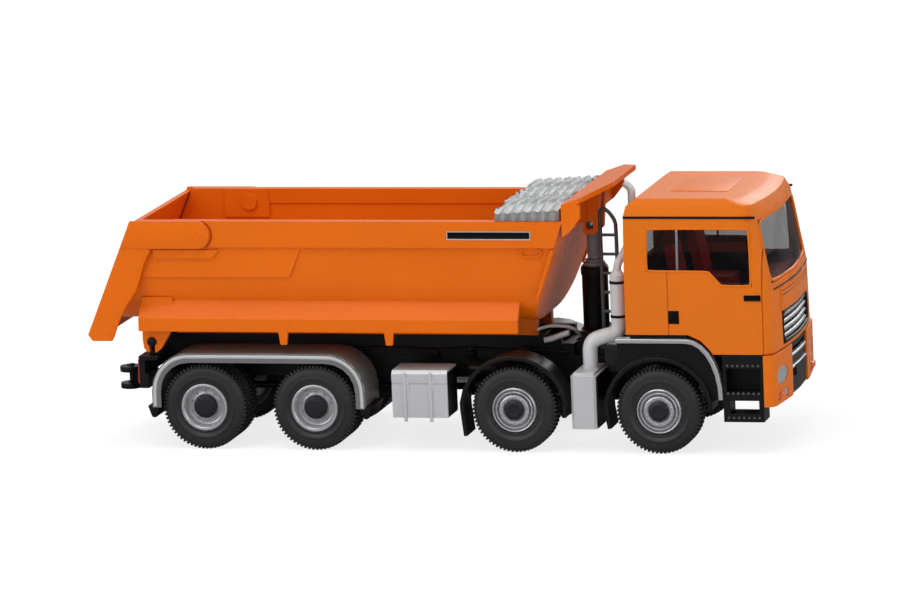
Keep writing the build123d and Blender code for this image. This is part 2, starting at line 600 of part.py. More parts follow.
rail_bottom_z = rail_top_z - rail_depth
trough = trough_solid(0, rail_top_z, tail_x, nose_x)
trough += block((tail_x, nose_x), (-bed_half_width, bed_half_width), (rail_bottom_z, rail_top_z))

# Plates pressed into the sides: a long panel that ends on a slant, and a step below the tailgate's arm.
wall_y = bed_half_width - side_step
panel_top_z = rail_bottom_z + 0.2
panel = side_prism([(tail_x, fold_z + 1.1), (axle_4_x + 13.3, fold_z + 1.1), (axle_4_x + 15.3, panel_top_z),
                    (tail_x, panel_top_z)], -wall_y, -wall_y + 0.6)
step_x0 = tailgate_top_x + 3.1
panel += side_prism([(step_x0, rail_bottom_z - 1.6), (arm_pivot_x + 2.0, rail_bottom_z - 1.6),
                     (arm_pivot_x + 3.0, rail_bottom_z - 0.4), (step_x0, rail_bottom_z - 0.4)],
                    -bed_half_width, -wall_y + 0.6)
trough += with_mirror(panel)
hollow = trough_solid(bed_wall, rail_top_z + 3, tail_x - 5, nose_x) - front_cut(-bed_wall * 1.1)

# On the inside a lip runs along the top, with a plate behind each pivot of the tailgate.
inner_y = wall_y - bed_wall
lip = block((arm_pivot_x, headboard_x), (-inner_y, -inner_y + 0.35), (rail_top_z - 2.1, rail_top_z))
lip += block((arm_pivot_x - 3.7, arm_pivot_x + 2.9), (-inner_y, -inner_y + 0.5), (rail_bottom_z - 0.4, rail_top_z))
lip += block((tail_x, arm_pivot_x - 3.7), (-inner_y - 0.1, -inner_y + 0.25), (rail_bottom_z - 1.6, rail_top_z))
lip += flat_bar(arm_pivot_x, arm_pivot_z, 1.1, -inner_y, -inner_y + 0.8)
hollow -= with_mirror(lip)
trough = trough - hollow - front_cut(0) - rear_cut((tailgate_plate + tailgate_gap) * slant)

skirt_inner_y = skirt_half_width - 2.7
skirt = end_prism([(skirt_inner_y, skirt_top_z + 0.3), (skirt_inner_y + 0.6, skirt_top_z + 0.2),
                   (skirt_half_width, skirt_top_z - 2.3), (skirt_half_width, skirt_bottom_z),
                   (skirt_half_width - skirt_wall, skirt_bottom_z), (skirt_half_width - skirt_wall, skirt_top_z - 2.6),
                   (skirt_inner_y, skirt_top_z - 0.4)], skirt_rear_x, skirt_front_x)
tab_depth = 1.8
for x in (axle_4_x + 12.2, axle_4_x + 27.5):
    skirt += side_prism([(x - 0.7, skirt_bottom_z + 0.2), (x - 0.45, skirt_bottom_z - tab_depth),
                         (x + 0.45, skirt_bottom_z - tab_depth), (x + 0.7, skirt_bottom_z + 0.2)],
                        skirt_half_width - skirt_wall, skirt_half_width)
bed = trough + with_mirror(skirt)
arm_room = arm_half_height + 0.2
arm_zone = block((tail_x, arm_pivot_x), (-20, -wall_y), (rail_bottom_z - 0.1, rail_top_z + 1))
arm_zone += spindle([(arm_room, -20), (arm_room, -wall_y)], wheel_sides, arm_pivot_x, arm_pivot_z)
bed -= with_mirror(arm_zone)

# Lugs that snap over the tipping shaft, open below by less than the shaft's thickness.
lug_root_z = skirt_top_z + 0.5
lug_front_x = hinge_x + 3.3
lug = side_prism([(skirt_rear_x + 0.2, lug_root_z), (hinge_x - 1.35, hinge_z + 0.4), (hinge_x - 1.2, hinge_z - 0.9),
                  (hinge_x - 0.6, hinge_z - 1.5), (hinge_x + 0.6, hinge_z - 1.5), (hinge_x + 1.3, hinge_z - 1.0),
                  (lug_front_x, hinge_z + 2.2), (lug_front_x, lug_root_z)],
                 -lug_y - lug_width / 2, -lug_y + lug_width / 2)
lug -= flat_bar(hinge_x, hinge_z, hinge_pin_radius + running_clearance, -20, 0)
snap_gap = hinge_pin_radius * 0.7
lug -= block((hinge_x - snap_gap, hinge_x + snap_gap), (-20, 0), (hinge_z - 2, hinge_z))
bed += with_mirror(lug)
bed += with_mirror(block((hinge_x + 1.4, bed_front_low_x - 0.8), (-frame_half_width, -sill_inner_y),
                         (subframe_top_z + bed_seat_gap, trough_bottom_z + 0.4)))

headboard_x1 = headboard_x + headboard_depth
wing = side_prism([(headboard_x, rail_top_z - 2.2), (headboard_x, headboard_top_z), (headboard_x1, headboard_top_z),
                   (headboard_x1, rail_top_z + 0.5), (headboard_x + 1.0, rail_top_z - 1.5)],
                  -bed_half_width, bed_half_width)
wing -= block((headboard_x + bed_wall, beyond_x), (-bed_half_width + 0.7, bed_half_width - 0.7), (rail_top_z - 12, beyond_z))
visor_tip_x = headboard_x + visor_reach
visor_tip_z = headboard_top_z + visor_rise
visor = side_prism([(headboard_x, headboard_top_z - visor_thickness), (headboard_x, headboard_top_z),
                    (visor_tip_x, visor_tip_z), (visor_tip_x, visor_tip_z - visor_thickness)],
                   -bed_half_width, bed_half_width)
for side in (-1, 1):
    corner = make_face(Polyline((headboard_x1, side * bed_half_width), (visor_tip_x, side * visor_tip_half_width),
                                (visor_tip_x + 3, side * visor_tip_half_width), (visor_tip_x + 3, side * 20),
                                (headboard_x1, side * 20), close=True))
    visor -= extrude(corner, beyond_z)
bed += wing + visor
eye_cheek = side_prism([(headboard_x + 0.2, headboard_top_z - 0.2), (headboard_x + 0.2, eye_z + 2.5),
                        (cylinder_x - 1.0, eye_z - 0.9), (cylinder_x - 0.6, eye_z - 1.3), (cylinder_x + 0.6, eye_z - 1.3),
                        (cylinder_x + 1.2, eye_z - 0.8), (cylinder_x + 1.7, headboard_top_z + 0.2)],
                       -cheek_gap / 2 - cheek_thickness, -cheek_gap / 2)
bed += with_mirror(eye_cheek - flat_bar(cylinder_x, eye_z, eye_radius - 0.2, -5, 0))
arm_pin = flat_bar(arm_pivot_x, arm_pivot_z, arm_pin_radius, -arm_outer_y, -wall_y + 0.4)
parts["bed"] = bed + with_mirror(arm_pin)

# Rigid folded tarpaulin across the front of the bed.
tarp_length = 9.1
tarp_x = (headboard_x - 0.5 - tarp_length, headboard_x - 0.5)
tarp_half_width = bed_half_width - 0.15
tarp_top_z = rail_top_z + 1.8
wave_count = 12
wave = [(tarp_x[0], rail_top_z)]
for step in range(wave_count + 1):
    share = step / wave_count
    ripple = 0.22 if step % 2 else -0.12
    wave.append((tarp_x[0] + 0.5 + (tarp_length - 0.9) * share, tarp_top_z + 0.5 * share + ripple))
wave.append((tarp_x[1], rail_top_z))
tarp = side_prism(wave, -tarp_half_width, tarp_half_width)
tarp -= side_prism([(tarp_x[0] + 0.8, rail_top_z - 1), (tarp_x[0] + 1.0, tarp_top_z - 0.7),
                    (tarp_x[1] - 0.9, tarp_top_z - 0.3), (tarp_x[1] - 0.8, rail_top_z - 1)],
                   -tarp_half_width + 0.65, tarp_half_width - 0.65)
parts["tarp"] = tarp

# Tailgate: a sloping plate between two side plates, hung from arms.
side_outer = [(arm_pivot_x, rail_top_z), (tailgate_top_x, rail_top_z), (tailgate_plane_x(rail_bottom_z), rail_bottom_z),
              (tailgate_tail_x, tailgate_foot_z), (tailgate_tail_x + 0.6, tailgate_bottom_z),
              (tailgate_tail_x + 3.45, tailgate_bottom_z), (tailgate_tail_x + 4.9, tailgate_foot_z + 3.4),
              (tailgate_top_x + 0.45, rail_bottom_z - 6.3), (tailgate_top_x + 1.75, rail_bottom_z - 1.8),
              (tailgate_top_x + 2.9, rail_bottom_z - 0.2), (arm_pivot_x, arm_pivot_z - arm_half_height)]
arm = side_prism(side_outer, -arm_outer_y, -arm_inner_y)
arm += spindle([(arm_half_height, -arm_outer_y), (arm_half_height, -arm_inner_y)], wheel_sides, arm_pivot_x, arm_pivot_z)
plate_x = tailgate_plate * slant
gate_top_z = rail_top_z - 0.4
gate_plate = side_prism([(tailgate_plane_x(gate_top_z), gate_top_z), (tailgate_tail_x, tailgate_foot_z),
                         (tailgate_tail_x + 0.4, tailgate_bottom_z), (tailgate_tail_x + 1.2, tailgate_bottom_z + 0.1),
                         (tailgate_plane_x(tailgate_foot_z + 0.5) + plate_x, tailgate_foot_z + 0.5),
                         (tailgate_plane_x(gate_top_z) + plate_x, gate_top_z)], -arm_inner_y - 0.1, arm_inner_y + 0.1)
pivot_bore = flat_bar(arm_pivot_x, arm_pivot_z, arm_pin_radius + running_clearance, -20, 20)
parts["tailgate"] = with_mirror(arm) + gate_plate - pivot_bore

# Cab: a hollow shell lofted through plan outlines, open below, with windows cut through.
cab_corner = 2.0
# Each row has the height, front, half width and rear of a plan outline, from the door's foot to the roof.
cab_levels = ((cab_door_bottom_z, nose_x - 0.15, cab_half_width, cab_rear_x),
              (windscreen_bottom_z - 0.9, nose_x - 0.35, cab_half_width, cab_rear_x),
              (cab_belt_z, nose_x - 0.85, cab_half_width - 0.1, cab_rear_x),
              (cab_side_top_z, nose_x - 2.2, cab_half_width - cab_tumblehome, cab_rear_x),
              (cab_roof_z - 0.8, nose_x - 2.9, cab_half_width - cab_tumblehome - 0.6, cab_rear_x + 0.3),
              (cab_roof_z, nose_x - 5.0, cab_half_width - cab_tumblehome - 2.0, cab_rear_x + 1.5))


def bowed_plan(front, half_width, rear, corner):
    """A plan outline with a bowed front and rounded front corners, in flat runs."""
    low_x, corner_y = front - nose_sweep, half_width - corner
    right = [(rear, half_width)] + arch_points(low_x - corner, corner_y, corner, corner, 90, 0, 3)
    right += [(front - nose_sweep / 4, corner_y / 2)]
    return make_face(Polyline(*right, (front, 0), *[(x, -y) for x, y in reversed(right)], close=True))


def cab_solid(inset, bottom_z):
    """The cab's outside moved inwards by inset, from bottom_z up."""
    faces = []
    for number, (z, front, half_width, rear) in enumerate(cab_levels):
        level = bottom_z if number == 0 else z - (inset if number > 3 else 0)
        faces.append(Pos(0, 0, level) * bowed_plan(front - inset, half_width - inset, rear + inset, cab_corner))
    return loft(faces, ruled=True)


below_z = cab_door_bottom_z - 1
arch_cut = side_prism([(cab_rear_x - 1, below_z - 3), (cab_rear_x - 1, cab_bottom_z), (axle_1_x + 4.6, cab_bottom_z),
                       (axle_1_x + 6.3, cab_bottom_z - 0.8), (axle_1_x + 7.4, cab_bottom_z - 1.9),
                       (axle_1_x + 8.0, cab_door_bottom_z), (axle_1_x + 8.0, below_z - 3)], -20, 20)
cab_outer = cab_solid(0, cab_door_bottom_z)
cab_inside = cab_solid(cab_wall, below_z)


def window_blocks(margin):
    """Blocks through the windscreen, both side windows and the rear window, larger all round by a margin."""
    m = margin
    screen = block((nose_x - 5, nose_x + 2), (-windscreen_half_width - m, windscreen_half_width + m),
                   (windscreen_bottom_z - m, windscreen_top_z + m))
    x0, x1, x2 = cab_rear_x + 3.1, cab_rear_x + 11.9, cab_rear_x + 17.8
    side = side_prism([(x0 - m, side_window_top_z + m), (x0 - m, cab_belt_z - m), (x1 - m, cab_belt_z - m),
                       (x1 + 1.8 - m, windscreen_bottom_z - m), (x2 + 0.2 + m, windscreen_bottom_z - m),
                       (x2 - 0.2 + m, side_window_top_z + m)], -20, 20)
    rear = block((cab_rear_x - 2, cab_rear_x + 1.4), (-5 - m, 5 + m), (cab_belt_z - m, side_window_top_z + m))
    return screen + side + rear


shell = cab_outer - cab_inside - arch_cut - window_blocks(0)
seam_depth = 0.12
seam_width = 0.15
front_seam_x = cab_rear_x + 19.2
rear_seam_x = cab_rear_x + 6.0
gutter_z = cab_side_top_z - 0.25
seams = block((front_seam_x, front_seam_x + seam_width), (-20, 20), (below_z, gutter_z))
seams += block((rear_seam_x, rear_seam_x + seam_width), (-20, 20), (below_z, cab_belt_z))
seams += block((cab_rear_x - 1, front_seam_x - 0.9), (-20, 20), (gutter_z, gutter_z + 0.25))
seams -= block((cab_rear_x - 2, nose_x), (-cab_half_width + 2, cab_half_width - 2), (below_z - 1, beyond_z))
shell -= seams - cab_solid(seam_depth, below_z - 1)
handle_x = (cab_rear_x + 6.0, cab_rear_x + 7.6)
handle_z = (cab_bottom_z + 1.5, cab_bottom_z + 3.4)
handle_y = cab_half_width - 0.35
shell -= with_mirror(block(handle_x, (-20, -handle_y), handle_z))
grille_half_width = cab_half_width - 5.4
grille_z = (cab_door_bottom_z + 0.4, windscreen_bottom_z - 1.4)
grille_hole = block((nose_x - 4, nose_x + 1), (-grille_half_width, grille_half_width), grille_z)
parts["cab_shell"] = shell - grille_hole
glass = (cab_solid(0.2, cab_door_bottom_z) - cab_inside) & window_blocks(-glass_gap)
glass += (cab_inside - cab_solid(cab_wall + 0.4, below_z)) & window_blocks(0.6)
parts["cab_glass"] = Compound(children=glass.solids())

seat_y = cab_half_width - 6.8
seat_half_width = 2.6
floor_top_z = cab_bottom_z + 0.8
cushion_top_z = cab_bottom_z + 4.7
interior = block((cab_rear_x, axle_1_x + 13.6), (-cab_half_width, cab_half_width), (cab_bottom_z, floor_top_z))
for y in (-seat_y, seat_y):
    seat_span = (y - seat_half_width, y + seat_half_width)
    interior += block((axle_1_x + 2.0, axle_1_x + 7.0), seat_span, (floor_top_z - 0.1, cushion_top_z))
    interior += side_prism([(axle_1_x + 1.8, cushion_top_z - 0.6), (axle_1_x + 0.6, cushion_top_z + 7.0),
                            (axle_1_x + 1.8, cushion_top_z + 7.2), (axle_1_x + 3.4, cushion_top_z - 0.6)], *seat_span)
interior += block((cab_rear_x + 1.2, axle_1_x + 14), (-3.4, 3.4), (floor_top_z - 0.1, cab_bottom_z + 3.5))
dash_top_z = windscreen_bottom_z - 0.8
interior += side_prism([(axle_1_x + 12.2, cab_bottom_z + 0.5), (axle_1_x + 11.2, dash_top_z - 0.7),
                        (axle_1_x + 14.0, dash_top_z), (axle_1_x + 15.6, dash_top_z - 0.2),
                        (axle_1_x + 15.2, cab_bottom_z + 0.5)], -windscreen_half_width - 0.3, windscreen_half_width + 0.3)
interior &= cab_inside
steering_centre = (axle_1_x + 9.2, seat_y, dash_top_z + 1.1)
wheel_plane = Plane(origin=steering_centre, x_dir=(0, 1, 0), z_dir=(-0.75, 0, 0.66))
column = wheel_plane * Pos(0, 0, -3.2) * extrude(RegularPolygon(0.3, 8), 3.2)
wheel_rim = extrude(RegularPolygon(2.0, 16) - RegularPolygon(1.55, 16), 0.4)
steering = wheel_plane * Pos(0, 0, -0.2) * (wheel_rim + extrude(RegularPolygon(0.5, 8), 0.4))
steering += wheel_plane * Box(3.5, 0.35, 0.25)
parts["steering_wheel"] = steering + column
parts["cab_interior"] = interior - column

# Nose: a slatted grille, bumper, lamps, steps and door handles.
grille_inset = 0.35
grille = (cab_solid(grille_inset, cab_door_bottom_z) - cab_solid(cab_wall + grille_inset, below_z)) & grille_hole
slat_count = 5
slat_pitch = (grille_z[1] - grille_z[0] - 1.0) / slat_count
for number in range(slat_count):
    low_z = grille_z[0] + 0.7 + slat_pitch * number
    grille -= block((nose_x - 6, nose_x + 1), (-grille_half_width + 0.8, grille_half_width - 0.8), (low_z, low_z + 0.6))
parts["grille"] = grille

bumper_rear_x = step_front_x + 0.05
bumper_corner = 1.15
bumper_z = (bumper_bottom_z, bumper_top_z)


def bumper_block(inset, side_inset, rear_x, spare=0):
    """The bumper's plan moved inwards, as an upright block that stands past it by spare."""
    plan = bowed_plan(nose_x - inset, bumper_half_width - side_inset, rear_x, bumper_corner)
    return Pos(0, 0, bumper_bottom_z - spare) * extrude(plan, bumper_height + 2 * spare)


bumper_inner = bumper_block(1.0, 1.0, bumper_rear_x - 4, 1)
bumper_centre = block((nose_x - 5, nose_x + 2), (-bumper_gap, bumper_gap), (bumper_bottom_z - 1, bumper_top_z + 1))
bumper = bumper_block(0, 0, bumper_rear_x) - bumper_inner - bumper_centre
lamp_y = bumper_half_width - 4.1
lamp_half_width = 2.6
headlamp_z = bumper_bottom_z + 3.9
headlamp_ring = arch_points(-lamp_y, headlamp_z, lamp_half_width, 1.25, 0, 330, 11)
lamp_tool = end_prism(headlamp_ring, nose_x - 6, nose_x + 2)
small_lamp_tool = block((nose_x - 6, nose_x + 2), (-lamp_y - 2.4, -lamp_y + 2.4), (bumper_bottom_z + 0.6, bumper_bottom_z + 1.6))
for tool in (lamp_tool, small_lamp_tool):
    bumper -= with_mirror(tool)
web_y = (-bumper_gap - 1.6, -frame_half_width)
web_z = (frame_bottom_z + 0.3, frame_top_z - 0.4)
parts["front_bumper"] = bumper + with_mirror(block((step_front_x - 0.3, nose_x - 1.2), web_y, web_z))
lamp_skin = bumper_block(0.15, 0.15, bumper_rear_x) - bumper_inner
parts["headlamps"] = both_sides(lamp_skin & lamp_tool)
parts["indicators"] = both_sides(lamp_skin & small_lamp_tool)
lower = (bumper_block(0.3, 0, bumper_rear_x) - bumper_inner) & bumper_centre
for z in (bumper_bottom_z + 4.9, bumper_bottom_z + 5.9):
    lower -= block((nose_x - 3, nose_x + 1), (-bumper_gap + 0.7, bumper_gap - 0.7), (z, z + 0.55))
lower += block((frame_front_x, nose_x - 1.2), (-frame_half_width + 0.3, frame_half_width - 0.3), (frame_bottom_z, frame_top_z - 0.4))
plate_z = (bumper_bottom_z + 2.4, bumper_bottom_z + 3.9)
parts["lower_grille"] = lower + block((nose_x - 1.0, nose_x), (-3.4, 3.4), plate_z)

step_y = (-wheel_face_y, -wheel_face_y + 3.7)
step_x = (step_rear_x, step_front_x)
step = block(step_x, step_y, (step_bottom_z, cab_door_bottom_z))
step -= block((step_x[0] + 0.5, step_x[1] - 0.4), (step_y[0] - 1, step_y[1] - 0.8), (step_bottom_z + 4.1, step_bottom_z + 7.5))
step -= block((step_x[0] + 0.9, step_x[1] - 0.7), (step_y[0] - 1, step_y[1] + 1), (step_bottom_z + 1.1, step_bottom_z + 3.0))
step += block((step_x[0] + 0.3, step_x[1] - 0.3), (step_y[1] - 0.1, -frame_half_width), (frame_bottom_z + 0.7, frame_bottom_z + 1.7))
parts["cab_steps"] = both_sides(step)
handle = block((handle_x[0] + 0.1, handle_x[1] - 0.1), (-cab_half_width, -handle_y), (handle_z[0] + 0.1, handle_z[1] - 0.1))
parts["door_handles"] = both_sides(handle)

os.makedirs("parts", exist_ok=True)
for name, shape in parts.items():
    solids = shape.solids()
    export_step(solids[0] if len(solids) == 1 else Compound(children=list(solids)), f"parts/{name}.step")
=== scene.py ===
from math import cos, pi, radians, sin, tau

import bpy
from mathutils import Matrix, Vector


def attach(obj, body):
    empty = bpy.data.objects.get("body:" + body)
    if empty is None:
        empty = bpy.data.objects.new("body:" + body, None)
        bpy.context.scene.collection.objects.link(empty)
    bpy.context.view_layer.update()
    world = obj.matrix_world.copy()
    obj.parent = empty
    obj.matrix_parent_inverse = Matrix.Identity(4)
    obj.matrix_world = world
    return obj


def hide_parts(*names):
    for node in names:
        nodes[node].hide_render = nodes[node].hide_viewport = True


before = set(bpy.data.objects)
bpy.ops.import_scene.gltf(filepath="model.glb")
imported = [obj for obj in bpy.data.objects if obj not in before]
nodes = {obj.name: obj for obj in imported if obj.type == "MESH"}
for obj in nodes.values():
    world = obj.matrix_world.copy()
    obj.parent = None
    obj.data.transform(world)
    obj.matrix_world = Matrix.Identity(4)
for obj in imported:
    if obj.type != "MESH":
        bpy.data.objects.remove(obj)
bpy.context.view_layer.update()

MM = 0.001
bpy.ops.object.select_all(action="DESELECT")

# The photographer's table: a white board that runs on to a white wall. The lorry stands on it
# under soft boxes above, on both sides and behind. The camera stands far off with a long lens. It
# sees the board and the room whiter than they are as a light, and reflections see them darker.
view_side, view_height, view_roll = radians(14.75), radians(10.54), radians(-2.457)
look = Vector((-sin(view_side) * cos(view_height), cos(view_side) * cos(view_height), -sin(view_height)))
level_right = Vector((cos(view_side), sin(view_side), 0))
level_up = level_right.cross(look)
right = level_right * cos(view_roll) + level_up * sin(view_roll)
up = level_up * cos(view_roll) - level_right * sin(view_roll)
camera = bpy.data.objects.new("camera", bpy.data.cameras.new("camera"))
bpy.context.scene.collection.objects.link(camera)
aim = Vector((0, 0, 17.0 * MM)) + right * -0.60 * MM + up * 1.93 * MM
camera_distance = 903.09 * MM
facing = Matrix((right, up, -look)).transposed().to_4x4()
camera.matrix_world = Matrix.Translation(aim - look * camera_distance) @ facing
sensor_width, focal_pixels, picture_pixels = 36, 6399.65, 900
camera.data.sensor_width = sensor_width
camera.data.lens = sensor_width * focal_pixels / picture_pixels
camera.data.clip_start, camera.data.clip_end = 0.05, 20
bpy.context.scene.camera = camera
bpy.context.scene.view_settings.view_transform = "Standard"


def soft_box(name, place, size, power):
    """A square studio lamp that faces the middle of the lorry."""
    bpy.ops.object.light_add(type="AREA", location=place)
    lamp = bpy.context.object
    lamp.name = name
    lamp.data.size, lamp.data.energy = size, power
    lamp.rotation_euler = (Vector((0, 0, 15 * MM)) - Vector(place)).to_track_quat("-Z", "Y").to_euler()
    lamp.visible_camera = False


soft_box("lamp_over", (-0.10, -0.16, 0.50), 0.42, 1.6)
soft_box("lamp_left", (-0.42, -0.50, 0.26), 0.36, 0.70)
soft_box("lamp_right", (0.50, -0.20, 0.24), 0.34, 0.70)
soft_box("lamp_back", (0.10, 0.55, 0.34), 0.40, 1.5)


def camera_share(tree, low, high, mirrored):
    """A level that is high where the camera looks at it, mirrored in a reflection and low as a light."""
    paths = tree.nodes.new("ShaderNodeLightPath")
    level = low
    for ray, other in (("Is Camera Ray", high), ("Is Glossy Ray", mirrored)):
        step = tree.nodes.new("ShaderNodeMath")
        step.operation = "MULTIPLY_ADD"
        step.inputs[1].default_value = other - low
        tree.links.new(paths.outputs[ray], step.inputs[0])
        if level is low:
            step.inputs[2].default_value = low
        else:
            tree.links.new(level, step.inputs[2])
        level = step.outputs[0]
    return level


world = bpy.data.worlds.new("white_room")
bpy.context.scene.world = world
world.use_nodes = True
sky = world.node_tree
sky.links.new(camera_share(sky, 0.42, 1.0, 0.55), sky.nodes["Background"].inputs["Strength"])
sky.nodes["Background"].inputs["Color"].default_value = (1, 1, 1, 1)

bpy.ops.mesh.primitive_plane_add(size=14, location=(0, 0, 0))
floor = bpy.context.object
floor.name = "floor"
board = bpy.data.materials.new("white_board")
board.use_nodes = True
tree = board.node_tree
paper = tree.nodes["Principled BSDF"]
tree.links.new(camera_share(tree, 0.93, 0.93, 0.22), paper.inputs["Base Color"])
paper.inputs["Roughness"].default_value = 0.9
paper.inputs["Specular IOR Level"].default_value = 0.0
glow = tree.nodes.new("ShaderNodeEmission")
glow.inputs["Strength"].default_value = 1.1
lit = tree.nodes.new("ShaderNodeMixShader")
tree.links.new(camera_share(tree, 0.0, 0.72, 0.0), lit.inputs["Fac"])
tree.links.new(paper.outputs[0], lit.inputs[1])
tree.links.new(glow.outputs[0], lit.inputs[2])
tree.links.new(lit.outputs[0], tree.nodes["Material Output"].inputs["Surface"])
floor.data.materials.append(board)


# Frame: two channel rails joined by crossmembers, with the hangers that carry the axles and the
# towing jaw at the tail. All of it is one black moulding, to which the other parts are clipped.
def moulded_plastic(name, colour, roughness=0.32, grain=0.03, grain_size=0.12, tint=0.05, metal=0.0, dust=0.0,
                    shine=0.5, slot=None):
    """Injection moulded plastic: a faint grain from the tool, cloudy flow marks, fingerprints and dust."""
    finish = bpy.data.materials.new(name)
    finish.use_nodes = True
    tree = finish.node_tree
    skin = tree.nodes["Principled BSDF"]
    place = tree.nodes.new("ShaderNodeTexCoord")

    def cloud(scale, detail):
        noise = tree.nodes.new("ShaderNodeTexNoise")
        noise.inputs["Scale"].default_value = scale
        noise.inputs["Detail"].default_value = detail
        tree.links.new(place.outputs["Object"], noise.inputs["Vector"])
        return noise.outputs["Fac"]

    shade = tree.nodes.new("ShaderNodeValToRGB")
    shade.color_ramp.elements[0].position = 0.3
    shade.color_ramp.elements[1].position = 0.7
    shade.color_ramp.elements[0].color = (*(c * (1 - tint) for c in colour), 1)
    shade.color_ramp.elements[1].color = (*(min(1, c * (1 + tint) + dust) for c in colour), 1)
    tree.links.new(cloud(90, 4), shade.inputs["Fac"])
    tree.links.new(shade.outputs["Color"], skin.inputs["Base Color"])
    gloss = tree.nodes.new("ShaderNodeMapRange")
    gloss.inputs["To Min"].default_value = roughness - 0.06
    gloss.inputs["To Max"].default_value = roughness + 0.06
    tree.links.new(cloud(260, 3), gloss.inputs["Value"])
    tree.links.new(gloss.outputs["Result"], skin.inputs["Roughness"])
    bump = tree.nodes.new("ShaderNodeBump")
    bump.inputs["Strength"].default_value = grain
    bump.inputs["Distance"].default_value = 0.05 * MM
    tree.links.new(cloud(1 / (grain_size * MM), 2), bump.inputs["Height"])
    tree.links.new(bump.outputs["Normal"], skin.inputs["Normal"])
    skin.inputs["Metallic"].default_value = metal
    skin.inputs["Specular IOR Level"].default_value = shine
    finish["slot"] = slot or name
    return finish


def dress_nodes(names, finish, edge=0.09, angle=28):
    """CAD nodes get a finish, and the soft edges that a moulding tool leaves."""
    for name in names:
        node = nodes[name]
        node.data.materials.clear()
        node.data.materials.append(finish)
        weld = node.modifiers.new("weld", "WELD")
        weld.merge_threshold = 0.002 * MM
        flat = node.modifiers.new("flat", "DECIMATE")
        flat.decimate_type = "DISSOLVE"
        flat.angle_limit = radians(0.5)
        soft = node.modifiers.new("soft_edges", "BEVEL")
        soft.limit_method = "ANGLE"
        soft.width, soft.segments, soft.angle_limit = edge * MM, 2, radians(angle)
        soft.use_clamp_overlap = True
        for face in node.data.polygons:
            face.use_smooth = True
        even = node.modifiers.new("even_normals", "WEIGHTED_NORMAL")
        even.keep_sharp = True


def rough_block(name, low, high):
    """A block between two corners in millimetres, to be shaped further."""
    bpy.ops.object.select_all(action="DESELECT")
    middle = [(a + b) / 2 * MM for a, b in zip(low, high)]
    bpy.ops.mesh.primitive_cube_add(size=1, location=middle, scale=[(b - a) * MM for a, b in zip(low, high)])
    bpy.ops.object.transform_apply(location=True, rotation=True, scale=True)
    piece = bpy.context.object
    piece.name = name
    return piece


def pick_faces(piece, facing):
    """Goes into edit mode with only the faces selected that look in a direction."""
    bpy.context.view_layer.objects.active = piece
    bpy.ops.object.mode_set(mode="EDIT")
    bpy.context.tool_settings.mesh_select_mode = (False, False, True)
    bpy.ops.mesh.select_all(action="DESELECT")
    bpy.ops.object.mode_set(mode="OBJECT")
    for face in piece.data.polygons:
        face.select = face.normal.dot(Vector(facing)) > 0.95
    bpy.ops.object.mode_set(mode="EDIT")


def finish_piece(piece, body, finish, edge=0.05, angle=32):
    """Softens a piece's edges, gives it a finish of the record and clips it to the body it moves with."""
    if bpy.context.object.mode != "OBJECT":
        bpy.ops.object.mode_set(mode="OBJECT")
    bpy.ops.object.select_all(action="DESELECT")
    bpy.context.view_layer.objects.active = piece
    piece.select_set(True)
    if edge:
        soft = piece.modifiers.new("soft_edges", "BEVEL")
        soft.limit_method = "ANGLE"
        soft.width, soft.segments, soft.angle_limit = edge * MM, 2, radians(angle)
        bpy.ops.object.modifier_apply(modifier=soft.name)
    bpy.ops.object.shade_smooth_by_angle(angle=radians(angle))
    piece.data.materials.append(finish)
    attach(piece, body)
    return piece


def copy_of(piece, name, change, body):
    """Another of the same piece, with a mesh of its own, put in its place by a matrix."""
    twin = piece.copy()
    twin.data = piece.data.copy()
    twin.name = name
    bpy.context.scene.collection.objects.link(twin)
    twin.data.transform(change)
    if change.determinant() < 0:
        twin.data.flip_normals()
    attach(twin, body)
    return twin


other_side = Matrix.Scale(-1, 4, (0, 1, 0))
black = moulded_plastic("black_plastic", (0.006, 0.006, 0.0065), 0.36, shine=0.25)
silver = moulded_plastic("silver_plastic", (0.54, 0.55, 0.57), 0.34, metal=0.2)
orange = moulded_plastic("orange_plastic", (0.74, 0.142, 0.005), 0.28, tint=0.03, shine=0.1)
dress_nodes(["chassis_frame", "tow_coupling", "rear_crossbar"], black, edge=0.07)
throat = rough_block("jaw_throat", (-46.9, -1.25, 6.3), (-44.4, 1.25, 8.9))
pick_faces(throat, (-1, 0, 0))
bpy.ops.transform.resize(value=(1, 0.75, 0.7))
finish_piece(throat, "chassis", black, edge=0.2)
bpy.ops.object.select_all(action="DESELECT")
bpy.ops.mesh.primitive_cylinder_add(vertices=28, radius=0.42 * MM, depth=3.6 * MM,
                                    location=(-48.0 * MM, 0, 7.7 * MM))
jaw_pin = bpy.context.object
jaw_pin.name = "jaw_pin"
bpy.ops.object.transform_apply(location=True, rotation=True, scale=True)
finish_piece(jaw_pin, "chassis", black, edge=0.08)

# Leaf springs: a curved stack of four steel leaves on each side of every axle, held down by two
# U bolts. On the model they are one moulding with the frame.
spring_y = (-6.0, -5.1)
leaf_thickness = 0.34


